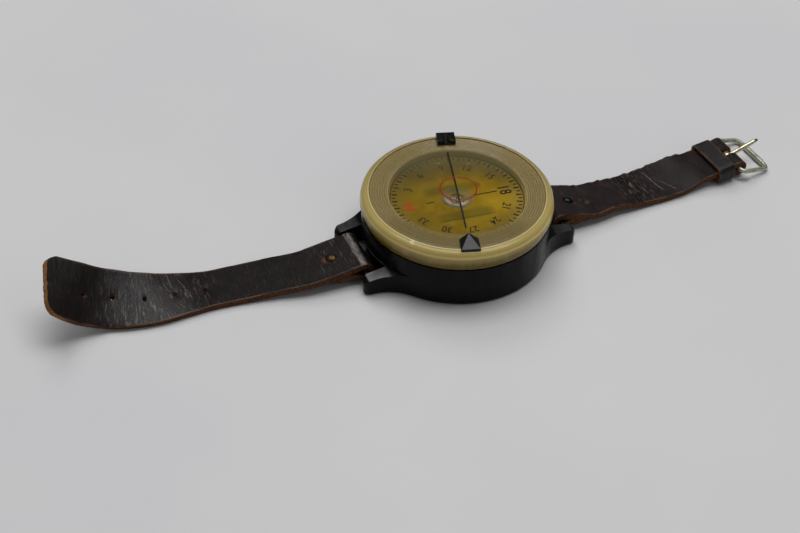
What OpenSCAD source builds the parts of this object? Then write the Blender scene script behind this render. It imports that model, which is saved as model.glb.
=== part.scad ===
// Liquid-filled wrist compass on a leather strap.
// Millimetres, +Z up. The origin is the middle of the case's base, on the table.
// +X runs towards the buckle, and +Y away from the wearer.

/* [Case] */
// Outer radius of the round case
case_r = 29.8; // [28.4:0.1:34]
// Height of the case, from the table to its rim
case_h = 13.9; // [13.2:0.1:16]
// Thickness of the case wall
case_wall = 2.4; // [2:0.1:3]
// Thickness of the case floor
case_floor = 2; // [1.2:0.1:3]
// Rounding of the case's lower edge
case_edge = 0.9; // [0.3:0.1:1.2]

/* [Lugs] */
// Distance from the case wall to the tip of a lug
lug_reach = 6.2; // [6:0.1:9]
// Half the distance over the outer faces of a pair of lugs
lug_half_span = 14.2; // [13.2:0.1:16]
// Thickness of one lug, and width of its round tip
lug_t = 3.6; // [3:0.1:4.2]
// Height of the top of a lug's nose
lug_nose_h = 5.9; // [5.4:0.1:7]
// Height of a lug's underside above the table
lug_lift = 0.5; // [0.1:0.1:1]
// Slope of a lug's top, up to the case
lug_slope = 10; // [4:1:12]
// Bevel of a lug's nose
lug_bevel = 1.4; // [0.5:0.1:2]

/* [Strap bars] */
// Radius of a strap bar
bar_r = 0.9; // [0.6:0.05:1]
// Height of a strap bar's axis
bar_z = 4.2; // [3.6:0.1:4.4]
// Distance from the tip of a lug back to the bar's axis
bar_setback = 2.3; // [2.1:0.1:2.4]
// Depth of the blind holes that hold the bar
bar_seat = 1.5; // [1:0.1:2.4]

/* [Capsule] */
// How far the capsule's rim stands out past the case
rim_over = 0.55; // [0.3:0.05:1.2]
// Height of the capsule's crown above the table
crown_z = 21.8; // [21:0.1:24]
// Radius of the domed window's curve
dome_r = 400; // [300:10:900]
// Radius of the rim's bulge, in section
rim_bulge_r = 6.5; // [5:0.1:10]
// Height of the widest point of the rim above the case
rim_bulge_up = 3.3; // [2.5:0.1:4]
// Thickness of the window at its crown
window_t = 1.8; // [1.7:0.1:2.6]
// Thickness of the bowl's wall
bowl_wall = 2.2; // [2:0.1:3]
// Thickness of the bowl's floor
bowl_floor = 1.8; // [1.2:0.1:2.6]
// Thickness of the gasket between the bowl and the cap
seal_t = 0.8; // [0.5:0.1:1.2]
// Radial gap between the turning bowl and the case
turn_gap = 0.4; // [0.3:0.05:0.6]
// Gap under and over the turning capsule
lift_gap = 0.3; // [0.2:0.05:0.6]
// Bearing that the lubber line is turned to
lubber_turn = -15.5; // [-180:0.5:180]

/* [Retaining ring] */
// Radius of the spring ring's wire
ring_wire_r = 0.6; // [0.4:0.05:0.7]
// Height of the spring ring
ring_z = 9; // [6:0.1:11]
// Opening of the split in the spring ring, in degrees
ring_split = 14; // [6:1:40]

/* [Sights] */
// Width of a sight
sight_w = 5.9; // [4.5:0.1:7]
// Length of the pointed sight
sight_l = 7; // [6:0.1:9]
// Length of the notched sight
notch_l = 4.6; // [3.6:0.1:6]
// Distance from the rim in to a sight's outer face
sight_setback = 1.75; // [1.65:0.05:2.7]
// Height of a sight's seat below the crown
sight_seat = 1.3; // [1.2:0.1:1.3]
// Height of a sight's sides
sight_side = 0.9; // [0.6:0.1:1.4]
// Height of the pyramid on the pointed sight
sight_peak = 1.4; // [0.5:0.1:2]
// Height of the notched sight
notch_h = 1.6; // [1.4:0.1:2]
// Depth of the notch at its inner end, and half its width there
notch_cut = 1.3; // [0.6:0.1:1.3]
// Land behind the notch, which runs out towards the rim
notch_land = 0.5; // [0.3:0.1:1]

/* [Card] */
// Gap between the card's edge and the bowl's wall
card_room = 4; // [3.4:0.1:6]
// Thickness of the card
card_t = 0.4; // [0.3:0.05:0.8]
// Depth of the card's face below the inside of the window
card_depth = 2; // [2:0.1:3]
// Direction that the card's N points to, from +X
card_north = 175; // [0:1:360]
// Radius of the hub's dome
hub_r = 4.6; // [4:0.1:6]
// Height of the hub's dome
hub_h = 1.7; // [1.2:0.1:1.7]
// Radius of the hub's spigot
spigot_r = 2.4; // [2:0.1:3]
// Length of a bar magnet
magnet_l = 17; // [12:0.5:20]
// Width of a bar magnet
magnet_w = 2.4; // [1.5:0.1:3]
// Height of a bar magnet
magnet_h = 1.9; // [1:0.1:2.4]
// Distance of a magnet from the card's middle
magnet_off = 6.4; // [5.6:0.1:8]
// Thickness of the cradle that carries the magnets
cradle_t = 0.5; // [0.3:0.1:0.8]
// Length of the cradle along the magnets
cradle_l = 7; // [6:0.1:10]
// Radius of the jewel cup
jewel_r = 1.2; // [1:0.1:1.5]
// Radius of the pivot needle
needle_r = 0.35; // [0.25:0.05:0.5]
// Radius of the pivot post's stem
post_r = 1.2; // [0.9:0.1:1.6]
// Radius of the pivot post's foot
post_foot_r = 4; // [3:0.1:5]
// Thickness of the pivot post's foot
post_foot_t = 1.6; // [1:0.1:2]
// Radius of the filler plug
plug_r = 2.6; // [2:0.1:3.4]
// Distance of the filler plug from the middle
plug_off = 14; // [10:0.5:18]

/* [Straps] */
// Width of both straps beside the case
strap_w = 16; // [13:0.1:18]
// Width of the long strap at its tip
tip_w = 18.7; // [13:0.1:19]
// Width of the short strap at its buckle
buckle_strap_w = 14.6; // [13:0.1:16]
// Thickness of the leather
strap_t = 1.9; // [1.5:0.1:2.1]
// Gap between a strap bar and the leather round it
loop_gap = 0.4; // [0.35:0.05:0.5]
// Droop of the long strap where it leaves its bar
long_droop = 9.5; // [4:0.5:12]
// Droop of the short strap where it leaves its bar
short_droop = 14; // [8:0.5:15]
// Length of the straight stretch beside the long strap's bar
long_head_l = 14; // [13:0.5:16]
// Length of the straight stretch beside the short strap's bar
short_head_l = 12; // [11:0.5:14]
// Distance from the bar to the long strap's rivet
long_rivet_x = 7.8; // [7:0.1:9]
// Distance from the bar to the short strap's rivet
short_rivet_x = 5.6; // [5.4:0.1:6.6]
// Length of the leather tucked under, past a rivet
tuck_l = 4.4; // [3.6:0.1:5]
// Radius of a strap hole
hole_r = 0.9; // [0.5:0.05:1.5]
// Number of strap holes
hole_count = 5; // [3:1:5]
// Spacing of the strap holes
hole_pitch = 9.7; // [7:0.1:10]
// Distance from the tip to the nearest hole
hole_tip = 13.6; // [10:0.1:20]
// Rounding of the long strap's tip corners
tip_round = 4; // [1:0.5:6]

/* [Rivets] */
// Radius of a rivet's head
rivet_head_r = 1.9; // [1.6:0.1:2.6]
// Height of a rivet's head
rivet_head_h = 0.9; // [0.6:0.1:1.2]
// Radius of a rivet's shank
rivet_r = 0.9; // [0.6:0.05:1.2]
// Radius of the washer under a rivet
burr_r = 2.4; // [1.8:0.1:3]
// Thickness of the washer under a rivet
burr_t = 0.5; // [0.3:0.1:0.8]

/* [Buckle] */
// Distance from the short strap's bar to the buckle bar
buckle_out = 68.2; // [66:0.2:72]
// Sideways bow of the short strap at the buckle
buckle_side = 4.4; // [2:0.1:6]
// Heading of the buckle, from +X
buckle_heading = 5; // [0:0.5:8]
// Rise of the strap towards the buckle
buckle_rise = 5.5; // [4:0.5:8]
// Radius of the buckle's wire
wire_r = 0.75; // [0.6:0.05:0.9]
// Half the width over the middle of the wire at the buckle bar
buckle_half_w = 9.3; // [8:0.1:11]
// Half the width over the middle of the wire at the outer bar
buckle_tip_half_w = 8.5; // [7.5:0.1:10]
// Length from the buckle bar to the outer bar
buckle_l = 11.4; // [10:0.1:11.8]
// Bend radius of the buckle's corners
buckle_bend = 1.9; // [1.2:0.1:2.6]
// Dip of the buckle's frame below the strap's line
buckle_dip = 19; // [10:1:19]
// Radius of the tongue
tongue_r = 0.72; // [0.5:0.02:0.9]
// Length of the tongue
tongue_l = 12.4; // [12:0.1:14]
// Lift of the tongue above the buckle's frame
tongue_lift = 29; // [24:1:40]
// Running gap between the tongue's eye and the buckle bar
eye_gap = 0.08; // [0.05:0.01:0.1]

/* [Keeper] */
// Length of the keeper along the strap
keeper_l = 6.1; // [5:0.1:6.8]
// Thickness of the keeper's leather
keeper_t = 0.9; // [0.7:0.1:1.2]
// Distance from the buckle bar to the keeper
keeper_back = 2.6; // [2.4:0.1:4]
// Gap between the keeper and the strap's edges
keeper_gap = 0.3; // [0.25:0.05:0.5]
// Room over the strap for its other end
keeper_room = 0.6; // [0.4:0.1:1.2]

/* [Hidden] */
$fn = 64;

// Overshoot of a cut past the face that it opens
over = 1;
// Play between pieces that are glued, screwed or seated together
seat_play = 0.05;
// Height of soft pieces above the table where they rest on it
table_gap = 0.05;
// How much slimmer a strap's band is, on each face, than the looped ends that it runs into
band_skin = 0.02;
// How much slimmer a lug's round tip is, on each side, than the lug
lug_ledge = 0.03;
// How much slimmer the buckle's straight wire is than its bends, and how far it runs into them
wire_skin = 0.01;
wire_lap = 0.15;

// Case and lugs
bore_r = case_r - case_wall;
lug_tip_x = case_r + lug_reach;
lug_in_y = lug_half_span - lug_t;
bar_x = lug_tip_x - bar_setback;
flare_x = lug_tip_x - lug_t / 2;
flare_r = (pow(flare_x, 2) + pow(lug_half_span, 2) - pow(case_r, 2)) / (2 * (case_r - lug_half_span));
flare_y = lug_half_span + flare_r;
flare_share = case_r / (case_r + flare_r);
// Extra depth of the groove that the spring ring sits in
ring_groove = 0.1;

// Capsule, from the bowl up
bowl_r = bore_r - turn_gap;
bowl_z = case_floor + lift_gap;
bowl_in_r = bowl_r - bowl_wall;
bowl_floor_z = bowl_z + bowl_floor;
// Depth of the groove round the bowl, and its spare room over the ring
bowl_groove = 0.8;
bowl_groove_room = 0.1;
bowl_groove_h = 2 * (ring_wire_r + lift_gap + bowl_groove_room);
cap_z = case_h + lift_gap;
ceiling_z = crown_z - window_t;
// Drop from the inside of the window to the gasket's seat
seal_drop = 0.6;
seal_seat_z = ceiling_z - seal_drop;
bowl_top_z = seal_seat_z - seal_t;
rim_r = case_r + rim_over;
bulge_z = case_h + rim_bulge_up;
sight_z = crown_z - sight_seat;
sight_out_r = rim_r - sight_setback;
sight_in_r = sight_out_r - sight_l;
notch_in_r = sight_out_r - notch_l;

// Card and its pivot, from the window down
card_r = bowl_in_r - card_room;
card_top_z = ceiling_z - card_depth;
card_z = card_top_z - card_t;
cradle_z = card_z - cradle_t;
magnet_z = cradle_z - magnet_h;
// Height of the nut under the card, and its width round the spigot
nut_h = 0.9;
nut_wall = 1.2;
nut_r = spigot_r + nut_wall;
spigot_z = cradle_z - nut_h;
// Height of the jewel, depth and tip radius of its cup, and the play over the needle's tip
jewel_h = 2;
cup_depth = 0.9;
cup_tip_r = 0.06;
pivot_gap = 0.1;
needle_tip_z = spigot_z + cup_depth - pivot_gap;
// Needle: height of its cone, radius of its tip, length held in the post and length bare above it
needle_cone_h = 1.2;
needle_tip_r = 0.05;
needle_grip = 2.5;
needle_bare = 0.8;
post_top_z = needle_tip_z - needle_cone_h - needle_bare;

// Strap loops round the bars
loop_in_r = bar_r + loop_gap;
loop_out_r = loop_in_r + strap_t;

// Buckle end of the short strap
// Gap between the buckle bar and the leather folded round it
fold_gap = 0.15;
fold_in_r = wire_r + fold_gap;
fold_out_r = fold_in_r + strap_t;
// Distances from the buckle bar: to where the upper and lower leather lie flat, to the end of the
// straight stretch, and to the end of the leather folded under
fold_taper = 4;
fold_under = 2.8;
fold_straight = 13;
fold_tail = 9.6;
// Bevel of the folded leather's end, and how much thinner that leather is
tail_bevel = 1;
tail_skive = 0.2;
tail_t = strap_t - tail_skive;
// Width and reach of the slot for the tongue
slot_w = 3.4;
slot_back = 4.4;
// Width of the tongue's eye and thickness of its wall
eye_w = 2.6;
eye_wall = 0.65;
eye_r = wire_r + eye_gap;
eye_out_r = eye_r + eye_wall;
// How much thicker the outer bar is than the wire
outer_bar_extra = 0.2;
outer_bar_r = wire_r + outer_bar_extra;

// Keeper, in the buckle end's frame: it lies on the table at its inner end
// Slack between the keeper and the leather under the strap
keeper_slack = 0.25;
keeper_low = tail_t + keeper_slack;
keeper_high = strap_t + keeper_room;
keeper_inner_x = keeper_back + keeper_l;
buckle_z = table_gap + (keeper_low + keeper_t) * cos(buckle_rise) + keeper_inner_x * sin(buckle_rise);
buckle_at = [bar_x + buckle_out, buckle_side, buckle_z];

// Route of the long strap past its head:
// distance from the bar, sideways bow, height of the underside, twist in degrees
long_route = [[27.3, 2.2, 1.3, 0], [36.9, 3.5, 0.35, 0], [46.4, 4.2, 0.2, 0], [55.4, 4.15, 1.3, 8],
              [63.7, 3.8, 2.7, 18], [71.4, 4.85, 3.7, 24.5], [78.5, 6.4, 5.3, 32], [85.4, 6.35, 9.3, 40],
              [95.4, 5.8, 17.4, 27]];
// Where along its route the long strap starts and stops widening
long_widening = [41, 86];
// Route of the short strap between its head and the buckle end, in the same terms
short_route = [[20, 1.2, 1.75, 5], [29, 1.6, 0.55, 3], [37, 1.9, 0.6, -2], [44.5, 2.3, 1.3, -7],
               [50, 2.7, 2.1, -8]];
// Where along its route the short strap starts and stops narrowing
short_narrowing = [42, 55];
route_steps = 5;

// Direction and place helpers
function unit(v) = v / norm(v);
function tilt(v, a) = [v.x * cos(a) + v.z * sin(a), v.y, v.z * cos(a) - v.x * sin(a)];
function swing(v, a) = [v.x * cos(a) - v.y * sin(a), v.x * sin(a) + v.y * cos(a), v.z];
function buckle_dir(v) = swing(tilt(v, -buckle_rise), buckle_heading);

// Smooth curve through four stations
function blend(a, b, c, d, t) =
    0.5 * (2 * b + (c - a) * t + (2 * a - 5 * b + 4 * c - d) * t * t
           + (3 * b - a - 3 * c + d) * t * t * t);

// Stations made dense, with set directions at both ends
function dense(st, lead, trail) =
    let (all = concat([lead], st, [trail]))
    concat([for (i = [1 : len(all) - 3], k = [0 : route_steps - 1])
                blend(all[i - 1], all[i], all[i + 1], all[i + 2], k / route_steps)],
           [st[len(st) - 1]]);

// Distance along a dense route, up to one of its points
function run(path, i) = i == 0 ? 0 : run(path, i - 1) + norm(xyz(path[i]) - xyz(path[i - 1]));
function xyz(p) = [p[0], p[1], p[2]];
function heading(path, i) =
    unit(xyz(path[min(i + 1, len(path) - 1)]) - xyz(path[max(i - 1, 0)]));

// Sideways and upward directions of a band at one point, with its twist
function level_side(dir) = unit(cross([0, 0, 1], dir));
function band_side(dir, twist) = level_side(dir) * cos(twist) - cross(dir, level_side(dir)) * sin(twist);
function band_up(dir, twist) = cross(dir, level_side(dir)) * cos(twist) + level_side(dir) * sin(twist);
function band_section(p, side, up, w) =
    [for (c = [[1, 1], [-1, 1], [-1, -1], [1, -1]])
         p + side * c[0] * (w / 2 - band_skin) + up * c[1] * (strap_t / 2 - band_skin)];
function square_section(p, dir, w) = band_section(p, band_side(dir, 0), band_up(dir, 0), w);

// Width that eases from one value to another over a stretch
function ease(u) = let (t = min(max(u, 0), 1)) t * t * (3 - 2 * t);
function eased_width(a, b, stretch, d) = a + (b - a) * ease((d - stretch[0]) / (stretch[1] - stretch[0]));

// Width of a band near its tip, where the corners are round
function tip_width(w, left) =
    left >= tip_round ? w : w - 2 * (tip_round - sqrt(pow(tip_round, 2) - pow(tip_round - left, 2)));

// Solid skin over a row of four-cornered sections
module loft(sections) {
    count = len(sections);
    points = [for (s = sections) each s];
    walls = [for (i = [0 : count - 2], k = [0 : 3])
                 let (a = 4 * i + k, b = 4 * i + (k + 1) % 4)
                 each [[a, a + 4, b + 4], [a, b + 4, b]]];
    last = 4 * (count - 1);
    polyhedron(points, concat([[0, 1, 2, 3]], walls, [[last + 3, last + 2, last + 1, last]]));
}

// Case: a cup with four lugs
module case_section() {
    difference() {
        square([case_r, case_h]);
        difference() {
            translate([case_r - case_edge, -over])
                square(case_edge + over);
            translate([case_r - case_edge, case_edge])
                circle(case_edge);
            translate([case_r - case_edge, case_edge])
                square(case_edge + over);
        }
    }
}

// Plan of one lug: round tip, and a sweep outside that blends it into the case
module lug_plan() {
    start = flare_share * [flare_x, flare_y];
    difference() {
        translate([start.x, lug_in_y])
            square([flare_x - start.x, start.y - lug_in_y]);
        translate([flare_x, flare_y])
            circle(flare_r, $fn = 180);
    }
    translate([flare_x, lug_half_span - lug_t / 2])
        circle(lug_t / 2 - lug_ledge);
}

// Side view of a lug: sloping top and a bevelled nose
module lug_side() {
    root = bore_r / 2;
    crest = [lug_tip_x - lug_bevel, lug_nose_h];
    brow = [lug_tip_x, lug_nose_h - lug_bevel];
    polygon([[root, lug_lift], [lug_tip_x + over, lug_lift], brow + [over, -over], crest,
             [root, crest.y + (crest.x - root) * tan(lug_slope)]]);
}

module lug() {
    intersection() {
        linear_extrude(case_h)
            lug_plan();
        translate([0, flare_y, 0])
            rotate([90, 0, 0])
                linear_extrude(flare_y)
                    lug_side();
    }
}

module case() {
    color([0.05, 0.05, 0.05])
    difference() {
        union() {
            rotate_extrude($fn = 128)
                case_section();
            for (side = [0, 1], end = [0, 1])
                mirror([end, 0, 0])
                    mirror([0, side, 0])
                        lug();
        }
        translate([0, 0, case_floor])
            cylinder(r = bore_r, h = case_h, $fn = 128);
        rotate_extrude($fn = 128)
            translate([bore_r - over, ring_z - ring_wire_r - seat_play])
                square([over + ring_wire_r + ring_groove, 2 * (ring_wire_r + seat_play)]);
        for (end = [-1, 1])
            translate([end * bar_x, -lug_in_y - bar_seat - seat_play, bar_z])
                rotate([-90, 0, 0])
                    cylinder(r = bar_r + seat_play, h = 2 * (lug_in_y + bar_seat + seat_play));
    }
}

module strap_bars() {
    color([0.45, 0.44, 0.42])
    for (end = [-1, 1])
        translate([end * bar_x, -lug_in_y - bar_seat, bar_z])
            rotate([-90, 0, 0])
                cylinder(r = bar_r, h = 2 * (lug_in_y + bar_seat));
}

module retaining_ring() {
    color([0.5, 0.5, 0.48])
    rotate([0, 0, ring_split / 2])
        rotate_extrude(angle = 360 - ring_split, $fn = 128)
            translate([bore_r + ring_groove - seat_play, ring_z])
                circle(ring_wire_r, $fn = 24);
}

// Capsule: bowl, gasket and cap
module capsule_bowl() {
    inner_round = 2;
    color([0.72, 0.66, 0.36, 0.6])
    difference() {
        rotate_extrude($fn = 128)
            difference() {
                translate([0, bowl_z])
                    square([bowl_r, bowl_top_z - bowl_z]);
                translate([0, bowl_floor_z + inner_round])
                    square([bowl_in_r, bowl_top_z]);
                translate([0, bowl_floor_z])
                    square([bowl_in_r - inner_round, bowl_top_z]);
                translate([bowl_in_r - inner_round, bowl_floor_z + inner_round])
                    circle(inner_round);
                translate([bowl_r - bowl_groove, ring_z - bowl_groove_h / 2])
                    square([bowl_groove + over, bowl_groove_h]);
            }
        translate([plug_off, 0, bowl_z - over])
            cylinder(r = plug_r + seat_play, h = bowl_floor + 2 * over);
    }
}

module filler_plug() {
    slot = 0.8;
    color([0.7, 0.56, 0.28])
    translate([plug_off, 0, bowl_z])
        difference() {
            cylinder(r = plug_r, h = bowl_floor);
            translate([-plug_r - over, -slot / 2, -over])
                cube([2 * (plug_r + over), slot, over + bowl_floor / 3]);
        }
}

module seal_ring() {
    color([0.12, 0.11, 0.1])
    rotate_extrude($fn = 128)
        translate([bowl_in_r + seat_play, bowl_top_z])
            square([bowl_wall - 2 * seat_play, seal_t]);
}

// Outside of the cap in section: domed window and bulging rim
module cap_outline() {
    bulge_x = rim_r - rim_bulge_r;
    intersection() {
        translate([0, cap_z])
            square([rim_r, crown_z - cap_z]);
        translate([0, crown_z - dome_r])
            circle(dome_r, $fn = 1440);
        union() {
            translate([0, cap_z])
                square([bulge_x, crown_z]);
            translate([bulge_x, bulge_z])
                circle(rim_bulge_r, $fn = 128);
        }
    }
}

module capsule_cap() {
    color([0.78, 0.72, 0.42, 0.5])
    difference() {
        rotate_extrude($fn = 128)
            difference() {
                cap_outline();
                translate([0, cap_z - over])
                    square([bowl_r + seat_play, seal_seat_z - cap_z + over]);
                translate([0, cap_z - over])
                    square([bowl_in_r, ceiling_z - cap_z + over]);
            }
        rotate([0, 0, lubber_turn]) {
            translate([0, 0, sight_z])
                linear_extrude(sight_seat + over)
                    rotate(180)
                        point_plan(seat_play);
            translate([0, 0, sight_z])
                linear_extrude(sight_seat + over)
                    notch_plan(seat_play);
        }
    }
}

// Plan of the pointed sight, pointing at the middle, with room round it
module point_plan(room) {
    half = sight_w / 2 + room;
    shoulder = sight_in_r + sight_w / 3;
    polygon([[0, sight_in_r - room], [half, shoulder], [half, sight_out_r + room],
             [-half, sight_out_r + room], [-half, shoulder]]);
}

// Plan of the notched sight, with room round it
module notch_plan(room) {
    translate([-sight_w / 2 - room, notch_in_r - room])
        square([sight_w + 2 * room, sight_out_r - notch_in_r + 2 * room]);
}

module sight_point() {
    peak_flat = 0.2;
    color([0.06, 0.06, 0.07])
    rotate([0, 0, lubber_turn + 180])
        translate([0, 0, sight_z])
            hull() {
                linear_extrude(sight_side)
                    point_plan(0);
                translate([0, sight_in_r + sight_w / 5, sight_side + sight_peak])
                    cube(peak_flat, center = true);
            }
}

module sight_notch() {
    notch_fall = atan(notch_cut / (notch_l - notch_land));
    color([0.06, 0.06, 0.07])
    rotate([0, 0, lubber_turn])
        translate([0, 0, sight_z])
            difference() {
                linear_extrude(notch_h)
                    notch_plan(0);
                translate([0, sight_out_r - notch_land, notch_h])
                    rotate([90 + notch_fall, 0, 0])
                        translate([0, 0, -over])
                            linear_extrude(notch_l + 2 * over)
                                polygon([[0, 0], [2 * notch_cut, 2 * notch_cut],
                                         [-2 * notch_cut, 2 * notch_cut]]);
            }
}

// Pivot that carries the card
module pivot_post() {
    color([0.72, 0.58, 0.3])
    difference() {
        union() {
            translate([0, 0, bowl_floor_z])
                cylinder(r = post_foot_r, h = post_foot_t);
            translate([0, 0, bowl_floor_z])
                cylinder(r = post_r, h = post_top_z - bowl_floor_z);
        }
        translate([0, 0, post_top_z - needle_grip])
            cylinder(r = needle_r + seat_play, h = needle_grip + over, $fn = 32);
    }
}

module pivot_needle() {
    color([0.75, 0.75, 0.76])
    translate([0, 0, post_top_z - needle_grip]) {
        cylinder(r = needle_r, h = needle_tip_z - needle_cone_h - post_top_z + needle_grip, $fn = 32);
        translate([0, 0, needle_tip_z - needle_cone_h - post_top_z + needle_grip])
            cylinder(r1 = needle_r, r2 = needle_tip_r, h = needle_cone_h, $fn = 32);
    }
}

// Card, hub, bearing and magnets
module compass_card() {
    color([0.78, 0.62, 0.12])
    translate([0, 0, card_z])
        difference() {
            cylinder(r = card_r, h = card_t, $fn = 128);
            translate([0, 0, -over])
                cylinder(r = spigot_r + seat_play, h = card_t + 2 * over);
        }
}

module float_hub() {
    dome_ball_r = (pow(hub_r, 2) + pow(hub_h, 2)) / (2 * hub_h);
    color([0.85, 0.85, 0.75, 0.6])
    difference() {
        rotate_extrude() {
            intersection() {
                translate([0, card_top_z])
                    square([hub_r, hub_h]);
                translate([0, card_top_z + hub_h - dome_ball_r])
                    circle(dome_ball_r, $fn = 128);
            }
            translate([0, spigot_z])
                square([spigot_r, card_top_z - spigot_z]);
        }
        translate([0, 0, spigot_z - over])
            cylinder(r = jewel_r + seat_play, h = jewel_h + over);
    }
}

module jewel_cup() {
    color([0.7, 0.2, 0.3])
    translate([0, 0, spigot_z])
        difference() {
            cylinder(r = jewel_r, h = jewel_h - seat_play);
            translate([0, 0, -over])
                cylinder(r1 = needle_r + over * needle_r / cup_depth + pivot_gap,
                         r2 = cup_tip_r, h = cup_depth + over, $fn = 32);
        }
}

module magnet_cradle() {
    color([0.72, 0.58, 0.3])
    rotate([0, 0, card_north])
        translate([0, 0, cradle_z])
            difference() {
                translate([-cradle_l / 2, -magnet_off - magnet_w / 2, 0])
                    cube([cradle_l, 2 * magnet_off + magnet_w, cradle_t]);
                translate([0, 0, -over])
                    cylinder(r = spigot_r + seat_play, h = cradle_t + 2 * over);
            }
}

module magnets() {
    color([0.25, 0.25, 0.26])
    rotate([0, 0, card_north])
        for (side = [-1, 1])
            translate([-magnet_l / 2, side * magnet_off - magnet_w / 2, magnet_z])
                cube([magnet_l, magnet_w, magnet_h]);
}

module hub_nut() {
    color([0.72, 0.58, 0.3])
    translate([0, 0, spigot_z])
        difference() {
            cylinder(r = nut_r, h = nut_h);
            translate([0, 0, -over])
                cylinder(r = spigot_r + seat_play, h = nut_h + 2 * over);
        }
}

// Looped end of a strap in side view: the bar is at the origin and the strap runs along +X
module head_outline(head_l, rivet_x) {
    tuck = rivet_x + tuck_l;
    close = rivet_x - burr_r;
    difference() {
        union() {
            circle(loop_out_r);
            translate([0, loop_in_r])
                square([head_l, strap_t]);
            polygon([[0, -loop_out_r], [close, loop_in_r - strap_t], [tuck, loop_in_r - strap_t],
                     [tuck, loop_in_r], [close, loop_in_r], [0, -loop_in_r]]);
        }
        circle(loop_in_r);
    }
}

module strap_head(head_l, rivet_x) {
    difference() {
        rotate([90, 0, 0])
            linear_extrude(strap_w, center = true)
                head_outline(head_l, rivet_x);
        translate([rivet_x, 0, 0])
            cylinder(r = rivet_r + seat_play, h = 3 * loop_out_r, center = true);
    }
}

// Rivet and its washer, in the frame of a strap head
module rivet(rivet_x) {
    ball_r = (pow(rivet_head_r, 2) + pow(rivet_head_h, 2)) / (2 * rivet_head_h);
    low = loop_in_r - strap_t - burr_t;
    translate([rivet_x, 0, 0])
        rotate_extrude() {
            translate([0, low])
                square([rivet_r, loop_out_r - low]);
            intersection() {
                translate([0, loop_out_r])
                    square([rivet_head_r, rivet_head_h]);
                translate([0, loop_out_r + rivet_head_h - ball_r])
                    circle(ball_r, $fn = 128);
            }
        }
}

module burr(rivet_x) {
    translate([rivet_x, 0, loop_in_r - strap_t - burr_t])
        difference() {
            cylinder(r = burr_r, h = burr_t);
            translate([0, 0, -over])
                cylinder(r = rivet_r + seat_play, h = burr_t + 2 * over);
        }
}

module at_long_bar() {
    translate([-bar_x, 0, bar_z])
        rotate([0, long_droop, 180])
            children();
}

module at_short_bar() {
    translate([bar_x, 0, bar_z])
        rotate([0, short_droop, 0])
            children();
}

// Long strap: head, then a band that lies down, curls up and twists
head_mid = loop_in_r + strap_t / 2;
long_start = [-bar_x, 0, bar_z] + swing(tilt([long_head_l, 0, head_mid], long_droop), 180);
long_dir = swing(tilt([1, 0, 0], long_droop), 180);
long_stations = concat([[each long_start, 0]],
                       [for (s = long_route) [-bar_x - s[0], s[1], s[2] + strap_t / 2, s[3]]]);
long_lead_gap = 2 * norm(xyz(long_stations[1]) - long_start);
long_lead = [each (xyz(long_stations[1]) - long_lead_gap * long_dir), 0];
long_last = len(long_stations) - 1;
long_path = dense(long_stations, long_lead, 2 * long_stations[long_last] - long_stations[long_last - 1]);
long_count = len(long_path);
long_length = run(long_path, long_count - 1);

function long_heading(i) = i == 0 ? long_dir : heading(long_path, i);
function long_width(i) =
    tip_width(eased_width(strap_w, tip_w, long_widening, -long_path[i].x - bar_x),
              long_length - run(long_path, i));
function long_hole_index(k) =
    max([for (i = [0 : long_count - 1])
             if (run(long_path, i) <= long_length - hole_tip - k * hole_pitch) i]);

module long_strap() {
    sections = [for (i = [0 : long_count - 1])
                    let (dir = long_heading(i), twist = long_path[i][3])
                    band_section(xyz(long_path[i]), band_side(dir, twist), band_up(dir, twist),
                                 long_width(i))];
    color([0.13, 0.09, 0.07]) {
        at_long_bar()
            strap_head(long_head_l, long_rivet_x);
        difference() {
            loft(concat([square_section(long_start - over * long_dir, long_dir, strap_w)], sections));
            for (k = [0 : hole_count - 1])
                long_hole(long_hole_index(k), hole_tip + k * hole_pitch);
        }
    }
}

// One hole, square to the strap, at its distance from the tip
module long_hole(i, from_tip) {
    dir = long_heading(i);
    twist = long_path[i][3];
    side = band_side(dir, twist);
    up = band_up(dir, twist);
    place = xyz(long_path[i]) + dir * (long_length - from_tip - run(long_path, i));
    multmatrix([[side.x, -dir.x, up.x, place.x],
                [side.y, -dir.y, up.y, place.y],
                [side.z, -dir.z, up.z, place.z]])
        cylinder(r = hole_r, h = 3 * strap_t, center = true, $fn = 24);
}

module long_strap_rivet() {
    color([0.55, 0.42, 0.2])
    at_long_bar()
        rivet(long_rivet_x);
}

module long_strap_burr() {
    color([0.55, 0.42, 0.2])
    at_long_bar()
        burr(long_rivet_x);
}

// Buckle end of the short strap in side view: the buckle bar is at the origin
module fold_outline() {
    difference() {
        union() {
            circle(fold_out_r);
            polygon([[0, fold_out_r], [-fold_taper, strap_t], [-fold_straight, strap_t],
                     [-fold_straight, 0], [-fold_taper, 0], [0, fold_in_r]]);
            polygon([[0, -fold_out_r], [-fold_under, -tail_t], [-fold_tail + tail_bevel, -tail_t],
                     [-fold_tail, 0], [-fold_taper, 0], [0, -fold_in_r]]);
        }
        circle(fold_in_r);
    }
}

module at_buckle() {
    translate(buckle_at)
        rotate([0, -buckle_rise, buckle_heading])
            children();
}

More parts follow.
